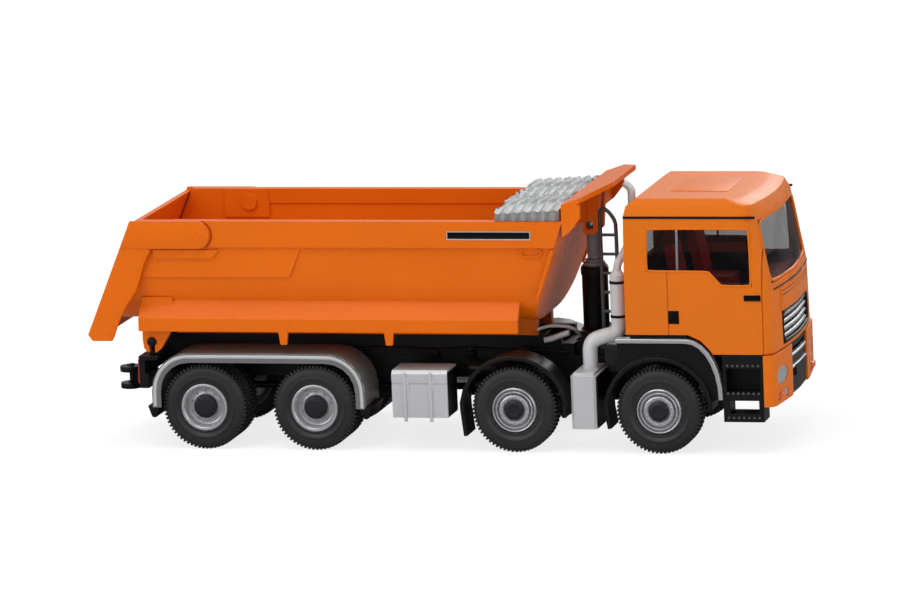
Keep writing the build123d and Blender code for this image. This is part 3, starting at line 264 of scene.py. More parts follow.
def leaf_spring(name, x):
    """One stack of leaves whose middle hangs below its ends."""
    leaves = []
    for number, half_length in enumerate((4.6, 3.7, 2.8, 1.9)):
        z = 7.15 - leaf_thickness * number
        leaf = rough_block(name, (x - half_length, spring_y[0], z),
                           (x + half_length, spring_y[1], z + leaf_thickness - 0.05))
        bpy.ops.object.mode_set(mode="EDIT")
        bpy.ops.mesh.select_all(action="SELECT")
        bpy.ops.mesh.subdivide(number_cuts=7)
        bpy.ops.object.mode_set(mode="OBJECT")
        for corner in leaf.data.vertices:
            corner.co.z += 0.075 * (corner.co.x / MM - x) ** 2 * MM
        leaves.append(leaf)
    for side in (-0.8, 0.8):
        leaves.append(rough_block(name, (x + side - 0.15, spring_y[0] - 0.12, 5.9),
                                  (x + side + 0.15, spring_y[1] + 0.12, 7.75)))
    bpy.ops.object.select_all(action="DESELECT")
    for leaf in leaves:
        leaf.select_set(True)
    bpy.context.view_layer.objects.active = leaves[0]
    bpy.ops.object.join()
    return finish_piece(leaves[0], "chassis", black, edge=0.04)


axle_xs = (32.2, 11.6, -17.2, -33.3)
for number, x in enumerate(axle_xs, 1):
    spring = leaf_spring(f"leaf_spring_right_{number}", x)
    copy_of(spring, f"leaf_spring_left_{number}", other_side, "chassis")

# Drive line: a gearbox below the cab, a propeller shaft to the twin axles and a round differential
# housing in the middle of each. All black, as the rest of the frame moulding.
axle_z = 6.05


def turned(name, stations, sides=64, centre=(0.0, 0.0), closed=False):
    """A piece turned on a lathe about a line along Y, from a circle drawn out ring by ring through
    stations of (radius, y). It starts and ends in a flat face, or meets itself where it is closed."""
    bpy.ops.object.select_all(action="DESELECT")
    first_radius, first_y = stations[0]
    x, z = centre
    bpy.ops.mesh.primitive_circle_add(vertices=sides, radius=first_radius * MM,
                                      location=(x * MM, first_y * MM, z * MM), rotation=(pi / 2, 0, 0))
    piece = bpy.context.object
    piece.name = name
    bpy.ops.object.transform_apply(location=True, rotation=True, scale=True)
    bpy.ops.object.mode_set(mode="EDIT")
    bpy.context.tool_settings.mesh_select_mode = (False, True, False)
    bpy.ops.mesh.select_all(action="SELECT")
    if not closed:
        bpy.ops.mesh.edge_face_add()
    for (radius, y), (next_radius, next_y) in zip(stations, stations[1:]):
        bpy.ops.mesh.extrude_edges_move(TRANSFORM_OT_translate={"value": (0, (next_y - y) * MM, 0)})
        ratio = next_radius / radius
        bpy.ops.transform.resize(value=(ratio, 1, ratio), center_override=(x * MM, next_y * MM, z * MM))
    if not closed:
        bpy.ops.mesh.edge_face_add()
    bpy.ops.mesh.select_all(action="SELECT")
    bpy.ops.mesh.remove_doubles(threshold=0.001 * MM)
    bpy.ops.mesh.normals_make_consistent(inside=False)
    bpy.ops.object.mode_set(mode="OBJECT")
    return piece


for number, x in ((3, -17.2), (4, -33.3)):
    housing = turned(f"differential_{number}", [(0.85, -3.6), (0.95, -2.4), (1.5, -1.7), (2.1, -0.8),
                                                (2.25, 0), (2.1, 0.8), (1.5, 1.7), (0.95, 2.4),
                                                (0.85, 3.6)], 32, (x, axle_z))
    finish_piece(housing, "chassis", black, edge=0)
quarter_turn = Matrix.Rotation(-pi / 2, 4, "Z")
for name, start, end in (("propeller_shaft", -15.2, 12.5), ("tandem_shaft", -31.2, -19.2)):
    tube = turned(name, [(0.35, start), (0.75, start + 0.3), (0.75, start + 1.1), (0.5, start + 1.5),
                         (0.5, end - 1.5), (0.75, end - 1.1), (0.75, end - 0.3), (0.35, end)], 24, (0, 6.6))
    tube.data.transform(quarter_turn)
    finish_piece(tube, "chassis", black, edge=0)
gearbox = rough_block("gearbox", (12.3, -2.6, 5.2), (27.0, 2.6, 10.4))
pick_faces(gearbox, (-1, 0, 0))
bpy.ops.transform.resize(value=(1, 0.5, 0.5))
bpy.ops.mesh.select_all(action="SELECT")
bpy.ops.mesh.subdivide(number_cuts=4)
bpy.ops.object.mode_set(mode="OBJECT")
pick_faces(gearbox, (0, 0, -1))
bpy.ops.mesh.inset(thickness=0.35 * MM, use_individual=True)
bpy.ops.transform.translate(value=(0, 0, -0.3 * MM))
finish_piece(gearbox, "chassis", black)

# Tyres: soft black rubber rings with a round shoulder, a raised ring on the side wall and a row of
# staggered lugs round each shoulder. One is shaped for the single wheels and one for the twins.
tyre_black = moulded_plastic("tyre_plastic", (0.020, 0.019, 0.0195), 0.48, grain=0.12, tint=0.12, dust=0.004,
                             shine=0.35)
tread_radius = 5.83


def tyre_ring(name, width):
    """One tyre about the origin, its outer face towards -Y at y = 0, with its lugs."""
    half = [(3.2, 0.55), (3.32, 0.38), (3.55, 0.30), (3.72, 0.33), (3.82, 0.20), (4.12, 0.08), (4.2, 0.02),
            (4.34, 0.0), (4.46, 0.04), (4.52, 0.12), (4.9, 0.13), (5.25, 0.2), (5.55, 0.36), (5.74, 0.58)]
    profile = half + [(tread_radius, 0.70)]
    profile += [(tread_radius, width / 2 - 0.12), (tread_radius - 0.2, width / 2 - 0.08)]
    profile += [(radius, width - y) for radius, y in reversed(profile)] + [half[0]]
    ring = turned(name, profile, 84, closed=True)
    lug_count = 64
    for first_angle, y0, y1 in ((0, 0.44, width / 2 - 0.3), (pi / lug_count, width / 2 + 0.3, width - 0.44)):
        lug = rough_block(name, (-0.19, y0, tread_radius - 0.3), (0.19, y1, 6.03))
        pick_faces(lug, (0, 0, 1))
        bpy.ops.transform.resize(value=(0.78, 0.88, 1))
        bpy.ops.mesh.select_all(action="SELECT")
        bpy.ops.transform.rotate(value=first_angle, orient_axis="Y", center_override=(0, 0, 0))
        bpy.ops.mesh.spin(steps=lug_count - 1, angle=tau * (lug_count - 1) / lug_count, dupli=True,
                          center=(0, 0, 0), axis=(0, 1, 0))
        bpy.ops.object.mode_set(mode="OBJECT")
        ring.select_set(True)
        bpy.context.view_layer.objects.active = ring
        bpy.ops.object.join()
    return ring


def axle_matrix(x, y, side):
    """Puts a piece made about the origin on an axle, turned round for the left side."""
    turn = Matrix.Identity(4) if side < 0 else Matrix.Rotation(pi, 4, "Z")
    return Matrix.Translation(Vector((x, side * y, axle_z)) * MM) @ turn


def wheel_set(piece, axles, title, y, replaced=None):
    """Puts a piece made about the origin on the right and the left of several axles. The right one
    takes the place of the axle's solids of that name, if one is given."""
    for number, x in axles:
        for side, word in ((-1, "right"), (1, "left")):
            twin = copy_of(piece, f"{title}_{word}_{number}", axle_matrix(x, y, side), f"axle_{number}")
            if side < 0 and replaced:
                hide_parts(f"axle_{number}_{replaced}")
    bpy.data.objects.remove(piece)


steer_axles = ((1, 32.2), (2, 11.6))
twin_axles = ((3, -17.2), (4, -33.3))
outer_y, inner_twin_y = 13.9, 9.9
single_tyre = finish_piece(tyre_ring("single_tyre", 3.8), "axle_1", tyre_black, edge=0)
outer_tyre = finish_piece(tyre_ring("outer_tyre", 3.3), "axle_3", tyre_black, edge=0)
inner_tyre = copy_of(outer_tyre, "inner_tyre", Matrix.Identity(4), "axle_3")
wheel_set(single_tyre, steer_axles, "tyre", outer_y, replaced="tyres")
wheel_set(outer_tyre, twin_axles, "outer_tyre", outer_y, replaced="tyres")
wheel_set(inner_tyre, twin_axles, "inner_tyre", inner_twin_y)

# Rims: silver plastic discs pressed into the tyres. The single ones bulge and have two ring grooves,
# and the twin ones are a deep dish. Both have a ring of ten wheel nuts.
bright_silver = moulded_plastic("bright_silver", (0.52, 0.53, 0.55), 0.29, grain=0.008, metal=0.6,
                                slot="silver_plastic")


def wheel_nuts(disc, radius, y, size):
    """Joins a ring of ten six sided nuts with a stud to a disc."""
    bpy.ops.object.select_all(action="DESELECT")
    bpy.ops.mesh.primitive_cylinder_add(vertices=6, radius=size * MM, depth=0.16 * MM,
                                        rotation=(pi / 2, 0, 0), location=(0, (y - 0.06) * MM, radius * MM))
    nut = bpy.context.object
    bpy.ops.object.transform_apply(location=True, rotation=True, scale=True)
    pick_faces(nut, (0, -1, 0))
    bpy.ops.mesh.inset(thickness=size * 0.45 * MM)
    bpy.ops.transform.translate(value=(0, -0.08 * MM, 0))
    bpy.ops.mesh.select_all(action="SELECT")
    bpy.ops.mesh.spin(steps=9, angle=tau * 0.9, dupli=True, center=(0, 0, 0), axis=(0, 1, 0))
    bpy.ops.object.mode_set(mode="OBJECT")
    disc.select_set(True)
    bpy.context.view_layer.objects.active = disc
    bpy.ops.object.join()


front_rim = turned("front_rim", [(1.2, 2.2), (3.18, 2.2), (3.2, 0.5), (3.14, 0.3), (3.1, 0.16), (3.02, 0.1),
                                 (2.92, 0.14), (2.88, 0.8), (2.68, 0.8), (2.64, 0.2), (2.58, 0.13),
                                 (2.5, 0.13), (2.44, 0.2), (2.42, 0.9), (2.2, 0.9), (2.16, 0.36),
                                 (2.1, 0.2), (1.95, 0.13), (1.65, 0.16), (1.46, 0.3), (1.42, 0.42),
                                 (1.2, 0.42)], 72)
wheel_nuts(front_rim, 1.82, 0.14, 0.14)
front_rim = finish_piece(front_rim, "axle_1", bright_silver, edge=0, angle=28)
wheel_set(front_rim, steer_axles, "rim", outer_y, replaced="rims")
rear_rim = turned("rear_rim", [(1.2, 2.4), (3.26, 2.4), (3.3, 0.6), (3.36, 0.3), (3.32, 0.16), (3.2, 0.1),
                               (2.98, 0.12), (2.86, 0.24), (2.78, 0.5), (2.74, 1.0), (2.62, 1.18),
                               (2.4, 1.26), (2.1, 1.24), (1.8, 1.16), (1.6, 1.22), (1.2, 1.22)], 72)
wheel_nuts(rear_rim, 2.12, 1.2, 0.16)
rear_rim = finish_piece(rear_rim, "axle_3", bright_silver, edge=0, angle=28)
inner_rim = copy_of(rear_rim, "inner_rim", Matrix.Identity(4), "axle_3")
wheel_set(rear_rim, twin_axles, "rim", outer_y, replaced="rims")
wheel_set(inner_rim, twin_axles, "inner_rim", inner_twin_y)

# Hub caps: dark plugs on the ends of the shafts. The driven axles' ones have a ring of bolts.
hub_black = moulded_plastic("hub_black", (0.013, 0.014, 0.017), 0.42, shine=0.3, slot="black_plastic")
dress_nodes([f"axle_{number}_shaft" for number in (1, 2, 3, 4)], black, edge=0.05)
front_hub = turned("front_hub", [(1.37, 1.0), (1.37, 0.12), (1.34, 0.0), (1.26, -0.08), (1.02, -0.2),
                                 (0.8, -0.22), (0.72, -0.19), (0.2, -0.19)], 48)
front_hub = finish_piece(front_hub, "axle_1", hub_black, edge=0)
wheel_set(front_hub, steer_axles, "hub", outer_y)
rear_hub = turned("rear_hub", [(1.62, 1.6), (1.62, 0.62), (1.56, 0.46), (1.42, 0.36), (1.2, 0.32),
                               (1.14, 0.26), (0.8, 0.22), (0.2, 0.22)], 48)
wheel_nuts(rear_hub, 1.34, 0.4, 0.09)
rear_hub = finish_piece(rear_hub, "axle_3", hub_black, edge=0)
wheel_set(rear_hub, twin_axles, "hub", outer_y)

# Mudguards: long silver ones over the twin wheels with a rounded bead along the edge, black arches
# over the second axle, and the cab's own ones with a black fender panel and a silver trim.
def pipe(name, points, radius, closed=False, sides=4):
    """A round bar bent through points in millimetres, with rounded corners and closed ends."""
    shape = bpy.data.curves.new(name, "CURVE")
    shape.dimensions = "3D"
    shape.resolution_u = 6
    shape.bevel_depth = radius * MM
    shape.bevel_resolution = sides
    shape.use_fill_caps = True
    run = shape.splines.new("NURBS")
    run.points.add(len(points) - 1)
    for spot, place in zip(run.points, points):
        spot.co = (*(value * MM for value in place), 1)
    run.order_u = 3
    run.use_endpoint_u = not closed
    run.use_cyclic_u = closed
    bar = bpy.data.objects.new(name, shape)
    bpy.context.scene.collection.objects.link(bar)
    bpy.ops.object.select_all(action="DESELECT")
    bar.select_set(True)
    bpy.context.view_layer.objects.active = bar
    bpy.ops.object.convert(target="MESH")
    return bpy.context.object


# The rear mudguards are silver, but their finish is painted shade: a dark grey for the shadow that lies on
# their tops under the bed.
guard_silver_painted_shade = moulded_plastic("guard_silver_painted_shade", (0.16, 0.17, 0.165), 0.36, metal=0.2, slot="silver_plastic")
dress_nodes(["rear_mudguards"], guard_silver_painted_shade, edge=0.12, angle=35)
dress_nodes(["mudguard_trims"], bright_silver, edge=0.12, angle=35)
dress_nodes(["second_axle_mudguards", "cab_mudguards"], black, edge=0.12, angle=35)
guard_edge_y = -13.85
corner_steps = 6
rear_bend = [(-35.25 - 5.1 * cos(step * pi / 2 / corner_steps), guard_edge_y,
              8.3 + 5.1 * sin(step * pi / 2 / corner_steps)) for step in range(corner_steps + 1)]
front_bend = [(-50.5 - x, y, z) for x, y, z in reversed(rear_bend)]
bead = pipe("mudguard_bead_right", [(-40.35, guard_edge_y, 6.2)] + rear_bend + front_bend
            + [(-10.15, guard_edge_y, 6.2)], 0.42)
finish_piece(bead, "chassis", silver, edge=0)
copy_of(bead, "mudguard_bead_left", other_side, "chassis")
for number, x0 in enumerate((-41.5, -10.6), 1):
    flap = rough_block(f"mud_flap_right_{number}", (x0, -14.1, 4.9), (x0 + 1.7, -7.0, 6.3))
    pick_faces(flap, (0, 0, -1))
    bpy.ops.transform.resize(value=(0.5, 0.97, 1))
    bpy.ops.mesh.extrude_region_move(TRANSFORM_OT_translate={"value": (0, 0, -0.35 * MM)})
    bpy.ops.transform.resize(value=(0.6, 0.97, 1))
    finish_piece(flap, "chassis", black, edge=0.12)
    copy_of(flap, f"mud_flap_left_{number}", other_side, "chassis")

# Boxes between the axles: the battery box under its silver cover, the fuel tank on the left with
# two straps, air bottles in front of the twin wheels and hoses along the frame.
dress_nodes(["battery_cover"], silver, edge=0.12)
dress_nodes(["battery_box"], black)
cover_end = rough_block("battery_end", (2.15, -13.7, 5.1), (2.3, -8.8, 11.3))
pick_faces(cover_end, (1, 0, 0))
bpy.ops.mesh.inset(thickness=0.3 * MM)
bpy.ops.transform.translate(value=(-0.08 * MM, 0, 0))
finish_piece(cover_end, "chassis", black, edge=0.04)
for number, x in enumerate((-3.9, -0.2), 1):
    rib = rough_block(f"battery_rib_{number}", (x - 0.22, -14.2, 4.35), (x + 0.22, -13.9, 11.3))
    pick_faces(rib, (0, -1, 0))
    bpy.ops.mesh.inset(thickness=0.1 * MM)
    finish_piece(rib, "chassis", silver, edge=0.04)
dress_nodes(["fuel_tank"], silver, edge=0.14)
for number, x in enumerate((-4.6, 1.0), 1):
    strap = rough_block(f"tank_strap_{number}", (x - 0.35, 8.5, 4.55), (x + 0.35, 14.06, 11.86))
    bpy.ops.object.mode_set(mode="EDIT")
    bpy.ops.mesh.select_all(action="SELECT")
    bpy.ops.object.mode_set(mode="OBJECT")
    cut = strap.modifiers.new("corner", "BEVEL")
    cut.width, cut.segments, cut.angle_limit = 1.22 * MM, 1, radians(40)
    cut.affect = "EDGES"
    cut.limit_method = "WEIGHT"
    weights = strap.data.attributes.new("bevel_weight_edge", "FLOAT", "EDGE")
    for edge in strap.data.edges:
        a, b = (strap.data.vertices[v].co for v in edge.vertices)
        weights.data[edge.index].value = 1.0 if abs(a.x - b.x) > 0.0005 else 0.0
    bpy.ops.object.modifier_apply(modifier=cut.name)
    finish_piece(strap, "chassis", black, edge=0.04)
cap = turned("tank_cap", [(0.95, 12.2), (0.95, 12.45), (0.85, 12.55), (0.5, 12.6), (0.2, 12.6)], 24,
             (-0.3, -12.0))
cap.data.transform(Matrix.Rotation(pi / 2, 4, "X"))
finish_piece(cap, "chassis", black, edge=0)
bottle = turned("air_bottle", [(0.4, -3.2), (1.0, -3.0), (1.25, -2.5), (1.25, 2.5), (1.0, 3.0), (0.4, 3.2)],
                32)
bottle.data.transform(Matrix.Rotation(-pi / 2, 4, "Z"))
bottle = finish_piece(bottle, "chassis", black, edge=0)
bottle.data.transform(Matrix.Translation(Vector((6.4, -6.4, 10.4)) * MM))
for number, shift in enumerate(((0, 0, -2.5), (-0.2, 12.8, 0)), 2):
    copy_of(bottle, f"air_bottle_{number}", Matrix.Translation(Vector(shift) * MM), "chassis")
for number, y in enumerate((-5.15, -5.45), 1):
    hose = pipe(f"air_hose_{number}", [(-14.0, y, 12.9), (-8, y, 13.25), (-2, y - 0.1, 12.7), (4, y, 13.2),
                                       (9, y, 12.75), (14.5, y, 13.1), (17.4, y, 12.6)], 0.16)
    finish_piece(hose, "chassis", black, edge=0)
for number, (x, height) in enumerate(((-1.5, 1.2), (3.6, 1.7), (9.0, 1.3)), 1):
    valve = turned(f"valve_{number}", [(0.5, 0), (0.62, 0.2), (0.62, height * 0.55), (0.42, height * 0.65),
                                       (0.42, height), (0.2, height)], 20)
    valve.data.transform(Matrix.Translation(Vector((x, -5.3, 11.7)) * MM) @ Matrix.Rotation(pi / 2, 4, "X"))
    finish_piece(valve, "chassis", black, edge=0)

# Silencer and exhaust: an upright silver box behind the cab's wheel, with a fat elbow that rises to an
# upright can and a thinner tail pipe bent back over the roof. Two black clamps hold the can.
dress_nodes(["silencer"], silver, edge=0.14)
end_plate = rough_block("silencer_end", (23.4, -13.7, 3.7), (23.62, -6.5, 10.9))
pick_faces(end_plate, (1, 0, 0))
bpy.ops.mesh.inset(thickness=0.4 * MM)
bpy.ops.transform.translate(value=(-0.08 * MM, 0, 0))
finish_piece(end_plate, "chassis", black)
pale_silver = moulded_plastic("pale_silver", (0.62, 0.63, 0.65), 0.45, metal=0.0, slot="silver_plastic")
elbow = pipe("exhaust_pipe", [(21.9, -10.0, 10.9), (21.9, -10.0, 12.4), (21.9, -10.0, 15.2),
                              (24.2, -9.8, 16.0), (25.4, -9.4, 16.0), (25.9, -9.0, 16.6),
                              (25.9, -9.0, 18.0)], 1.05, sides=6)
can = turned("exhaust_can", [(0.96, 16.6), (1.06, 17.0), (1.06, 24.4), (0.62, 25.0), (0.62, 25.2)], 40,
             (25.9, 9.0))
can.data.transform(Matrix.Rotation(pi / 2, 4, "X"))
tail_pipe = pipe("tail_pipe", [(25.9, -9.0, 24.8), (25.9, -9.0, 25.8), (26.7, -8.0, 27.2),
                               (26.9, -3.8, 28.4), (26.9, -2.6, 29.6), (26.9, -2.6, 31.0),
                               (26.9, -2.6, 34.2), (26.9, -2.6, 35.6), (25.9, -2.6, 36.2)], 0.56, sides=6)
bpy.ops.object.select_all(action="DESELECT")
for part in (elbow, can, tail_pipe):
    part.select_set(True)
bpy.context.view_layer.objects.active = elbow
bpy.ops.object.join()
finish_piece(elbow, "chassis", pale_silver, edge=0)
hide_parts("exhaust_stack")
for number, z in enumerate((18.4, 23.2), 1):
    clamp = turned(f"stack_clamp_{number}", [(1.0, z), (1.13, z), (1.13, z + 0.4), (1.0, z + 0.4)], 40,
                   (25.9, 9.0))
    clamp.data.transform(Matrix.Rotation(pi / 2, 4, "X"))
    finish_piece(clamp, "chassis", black, edge=0.04)

# Ladder: two round uprights with rungs between them, and a grab rail that curls over the top.
# It stands on a bracket of the frame and gives a hold when the tarpaulin is folded.
rail_grey = moulded_plastic("rail_grey", (0.05, 0.055, 0.058), 0.36, slot="black_plastic")
ladder_y = -7.4
uprights = pipe("ladder", [(23.4, ladder_y, 14.0), (23.4, ladder_y, 31.5), (23.3, ladder_y, 33.2),
                           (24.2, ladder_y, 33.5), (25.5, ladder_y, 31.9), (25.65, ladder_y, 30.6),
                           (25.65, ladder_y, 14.0)], 0.28)
rungs = [pipe("rung", [(23.4, ladder_y, z), (25.65, ladder_y, z)], 0.22)
         for z in (16.2, 18.9, 21.6, 24.3, 27.0, 29.7)]
bracket = rough_block("bracket", (22.9, -7.9, 13.7), (26.15, -4.9, 14.3))
foot = rough_block("foot", (22.9, -5.5, 10.0), (26.15, -4.9, 14.3))
bpy.ops.object.select_all(action="DESELECT")
for part in [uprights, bracket, foot] + rungs:
    part.select_set(True)
bpy.context.view_layer.objects.active = uprights
bpy.ops.object.join()
finish_piece(uprights, "chassis", rail_grey, edge=0)
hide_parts("ladder")

# Cylinder bracket and tipping cylinder: a turned barrel on trunnions between two cheeks, with two
# sleeves and a rod that slide out of it, in black and blue grey. A strut and a pipe lie beside it.
dress_nodes(["tipper_subframe", "cylinder_bracket"], black, edge=0.07)
sleeve_grey = moulded_plastic("sleeve_grey", (0.20, 0.24, 0.275), 0.28, slot="silver_plastic")
dress_nodes(["cylinder_stage_1", "cylinder_stage_2", "cylinder_rod"], sleeve_grey, edge=0.05, angle=40)
cylinder_x, trunnion_z = 20.6, 13.8
barrel = turned("cylinder_barrel", [(1.2, 8.2), (2.0, 8.2), (2.14, 8.35), (2.14, 15.1), (1.98, 15.3),
                                    (1.84, 15.35), (1.84, 22.7), (1.9, 22.8), (1.97, 22.95), (1.97, 23.8),
                                    (1.9, 23.9), (1.84, 23.95), (1.84, 24.1), (1.62, 24.1), (1.62, 8.9),
                                    (1.2, 8.9)], 56, (cylinder_x, 0))
barrel.data.transform(Matrix.Rotation(pi / 2, 4, "X"))
trunnion = turned("trunnion", [(0.3, -3.55), (0.55, -3.55), (0.6, -3.5), (0.6, -2.35), (0.95, -2.3),
                               (0.95, 2.3), (0.6, 2.35), (0.6, 3.5), (0.55, 3.55), (0.3, 3.55)], 32,
                  (cylinder_x, trunnion_z))
bpy.ops.object.select_all(action="DESELECT")
barrel.select_set(True)
trunnion.select_set(True)
bpy.context.view_layer.objects.active = barrel
bpy.ops.object.join()
finish_piece(barrel, "cylinder_tube", black, edge=0)
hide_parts("cylinder_tube")
strut = pipe("hinge_strut", [(14.6, -6.6, 14.6), (15.4, -6.6, 14.7), (17.6, -6.6, 15.6),
                             (18.2, -6.6, 15.7)], 0.42)
finish_piece(strut, "chassis", silver, edge=0)
feed = pipe("oil_pipe", [(13.4, -5.6, 15.9), (14.6, -5.6, 16.4), (16.4, -5.6, 16.5), (18.2, -5.4, 16.2),
                         (19.0, -4.4, 15.4), (19.0, -3.2, 14.4)], 0.24)
finish_piece(feed, "chassis", silver, edge=0)

# Cab interior: wine red seats, tunnel and dashboard moulded in one, with a black steering wheel.
# Thin black sheets inside the doors and on the rear wall are painted shade: they darken the orange plastic of
# the cab's inside, where little light falls.
wine = moulded_plastic("red_brown_plastic", (0.70, 0.012, 0.028), 0.4, shine=0.3)
dress_nodes(["cab_interior"], wine, edge=0.2)
dress_nodes(["steering_wheel"], black)
shade_sheet = rough_block("rear_wall_shade_sheet", (29.05, -12.5, 17.8), (29.2, 12.5, 24.9))
finish_piece(shade_sheet, "chassis", black, edge=0.03)
shade_sheet = rough_block("door_shade_sheet_right", (29.4, -12.72, 17.8), (46.4, -12.6, 23.7))
finish_piece(shade_sheet, "chassis", black, edge=0.03)
copy_of(shade_sheet, "door_shade_sheet_left", other_side, "chassis")

# Cab shell: one orange moulding with the roof, doors and front panel. Seams, a rain gutter and a
# roof hatch are cut in it, and a black badge bar and door handle are printed on each door.
cab_orange = moulded_plastic("cab_orange", (0.69, 0.155, 0.009), 0.28, tint=0.03, shine=0.1,
                             slot="orange_plastic")
dress_nodes(["cab_shell"], cab_orange, edge=0.22, angle=24)
flat_black = moulded_plastic("flat_black", (0.003, 0.003, 0.0035), 0.5, shine=0.1, slot="black_plastic")
dress_nodes(["door_handles"], flat_black)
hatch = rough_block("roof_hatch", (33.2, -5.6, 35.2), (41.2, 5.6, 35.57))
pick_faces(hatch, (0, 0, 1))
bpy.ops.mesh.inset(thickness=0.5 * MM)
bpy.ops.transform.translate(value=(0, 0, 0.06 * MM))
finish_piece(hatch, "chassis", cab_orange, edge=0.08, angle=20)


def side_y(z):
    """How far the cab's side is from the middle at a height."""
    if z < 25.7:
        return 14.0 - 0.1 * max(0, z - 22.8) / 2.9
    return 13.9 - 0.65 * (z - 25.7) / 7.6


gutter = rough_block("rain_gutter_right", (28.0, -13.36, 33.02), (46.5, -13.0, 33.34))
pick_faces(gutter, (0, -1, 0))
bpy.ops.mesh.inset(thickness=0.06 * MM)
bpy.ops.transform.translate(value=(0, 0.08 * MM, 0))
finish_piece(gutter, "chassis", black, edge=0)
copy_of(gutter, "rain_gutter_left", other_side, "chassis")
badge = rough_block("door_marker_right", (44.8, -14.12, 21.7), (47.1, -13.8, 22.5))
pick_faces(badge, (0, -1, 0))
bpy.ops.mesh.inset(thickness=0.12 * MM)
bpy.ops.transform.translate(value=(0, 0.1 * MM, 0))
finish_piece(badge, "chassis", flat_black, edge=0.05)
copy_of(badge, "door_marker_left", other_side, "chassis")
handle = rough_block("handle_bow_right", (34.15, -14.05, 18.95), (35.5, -13.7, 19.75))
pick_faces(handle, (1, 0, 0))
bpy.ops.transform.resize(value=(1, 1, 0.6))
finish_piece(handle, "chassis", flat_black, edge=0.22)
copy_of(handle, "handle_bow_left", other_side, "chassis")

# Windows: one clear moulding clipped in behind the openings. A thin orange lip runs round each opening of the
# cab. A slim silver bar on the side pane marks the seam between its two panes; its light grey is a painted
# highlight, the glint off the glass edges there.
clear = moulded_plastic("clear_plastic", (0.004, 0.004, 0.005), 0.07, grain=0.0, shine=0.25)
clear.node_tree.nodes["Principled BSDF"].inputs["Alpha"].default_value = 0.38
dress_nodes(["cab_glass"], clear, edge=0)
pane = [(31.15, 31.65), (31.15, 25.75), (39.86, 25.75), (41.6, 23.75), (45.85, 23.75), (45.6, 31.65)]


def rounded(corners, reach):
    """Points of a closed outline whose corners are cut by a short run each side."""
    points = []
    for before, here, after in zip(corners[-1:] + corners[:-1], corners, corners[1:] + corners[:1]):
        for other in (before, after):
            step = (Vector(other) - Vector(here)).normalized() * reach
            points.append(tuple(Vector(here) + step))
    return points


frame_edge = pipe("side_pane_edge_right", [(x, -side_y(z) + 0.1, z) for x, z in rounded(pane, 0.25)], 0.17,
                  closed=True)
finish_piece(frame_edge, "chassis", cab_orange, edge=0)
copy_of(frame_edge, "side_pane_edge_left", other_side, "chassis")
# Painted highlight: a light silver bar for the glint along the seam of the side pane.
seam_glint = rough_block("pane_seam_glint_right", (35.3, -13.62, 25.8), (35.62, -13.45, 31.6))
pick_faces(seam_glint, (0, 0, 1))
bpy.ops.transform.translate(value=(0, 0.42 * MM, 0))
finish_piece(seam_glint, "chassis", silver, edge=0.05)
copy_of(seam_glint, "pane_seam_glint_left", other_side, "chassis")


def nose_front(y, z):
    """Where the cab's front face is, across the lorry and up it."""
    levels = ((14.2, 49.55), (22.8, 49.35), (25.7, 48.85), (33.3, 47.5))
    for (z0, x0), (z1, x1) in zip(levels, levels[1:]):
        if z <= z1:
            break
    front = x0 + (x1 - x0) * (z - z0) / (z1 - z0)
    return front - 0.9 * (max(0, abs(y) - 1.0) / 11.0) ** 1.5


screen = [(-11.75, 32.45), (-11.75, 23.85), (0, 23.85), (11.75, 23.85), (11.75, 32.45), (0, 32.45)]
edging = []
for y, z in rounded(screen, 0.9):
    edging.append((nose_front(y, z) - 0.25, y, z))
frame_edge = pipe("screen_edge", edging, 0.24, closed=True)
finish_piece(frame_edge, "chassis", cab_orange, edge=0)

# Cab mounts: a black sill on each side, a plain moulded bar between the cab and the mudguard.
# The cab rests on it.
sill = rough_block("cab_sill_right", (28.4, -13.3, 16.2), (36.4, -11.6, 17.0))
pick_faces(sill, (0, -1, 0))
bpy.ops.mesh.inset(thickness=0.12 * MM)
bpy.ops.transform.translate(value=(0, 0.1 * MM, 0))
finish_piece(sill, "chassis", black)
copy_of(sill, "cab_sill_left", other_side, "chassis")

# Nose: a black grille frame with silver slats, an orange bumper with oval lamps, a black lower grille
# with a blank plate, and black steps with toothed treads under each door.
dress_nodes(["front_bumper"], cab_orange, edge=0.2, angle=30)
dress_nodes(["grille", "lower_grille", "cab_steps"], black, edge=0.09)
bonnet = rough_block("bonnet_panel", (-0.35, -8.9, 19.35), (0.12, 8.9, 22.6))
bpy.ops.object.mode_set(mode="EDIT")
bpy.ops.mesh.select_all(action="SELECT")
bpy.ops.mesh.subdivide(number_cuts=15)
bpy.ops.object.mode_set(mode="OBJECT")
for corner in bonnet.data.vertices:
    corner.co.x += nose_front(corner.co.y / MM, corner.co.z / MM) * MM
finish_piece(bonnet, "chassis", cab_orange, edge=0.06)
slat_z = (15.55, 16.55, 17.55, 18.55)
for number, z in enumerate(slat_z, 1):
    spots = [(-7.7, z), (-4, z), (0, z), (4, z), (7.7, z)]
    slat = pipe(f"grille_slat_{number}", [(nose_front(y, height) - 0.42, y, height) for y, height in spots],
                0.32)
    finish_piece(slat, "chassis", bright_silver, edge=0)
surround = [(-8.35, 19.15), (-8.35, 14.85), (0, 14.85), (8.35, 14.85), (8.35, 19.15), (0, 19.15)]
ring = pipe("grille_surround", [(nose_front(y, z) - 0.1, y, z) for y, z in rounded(surround, 0.7)], 0.26,
            closed=True)
finish_piece(ring, "chassis", black, edge=0)
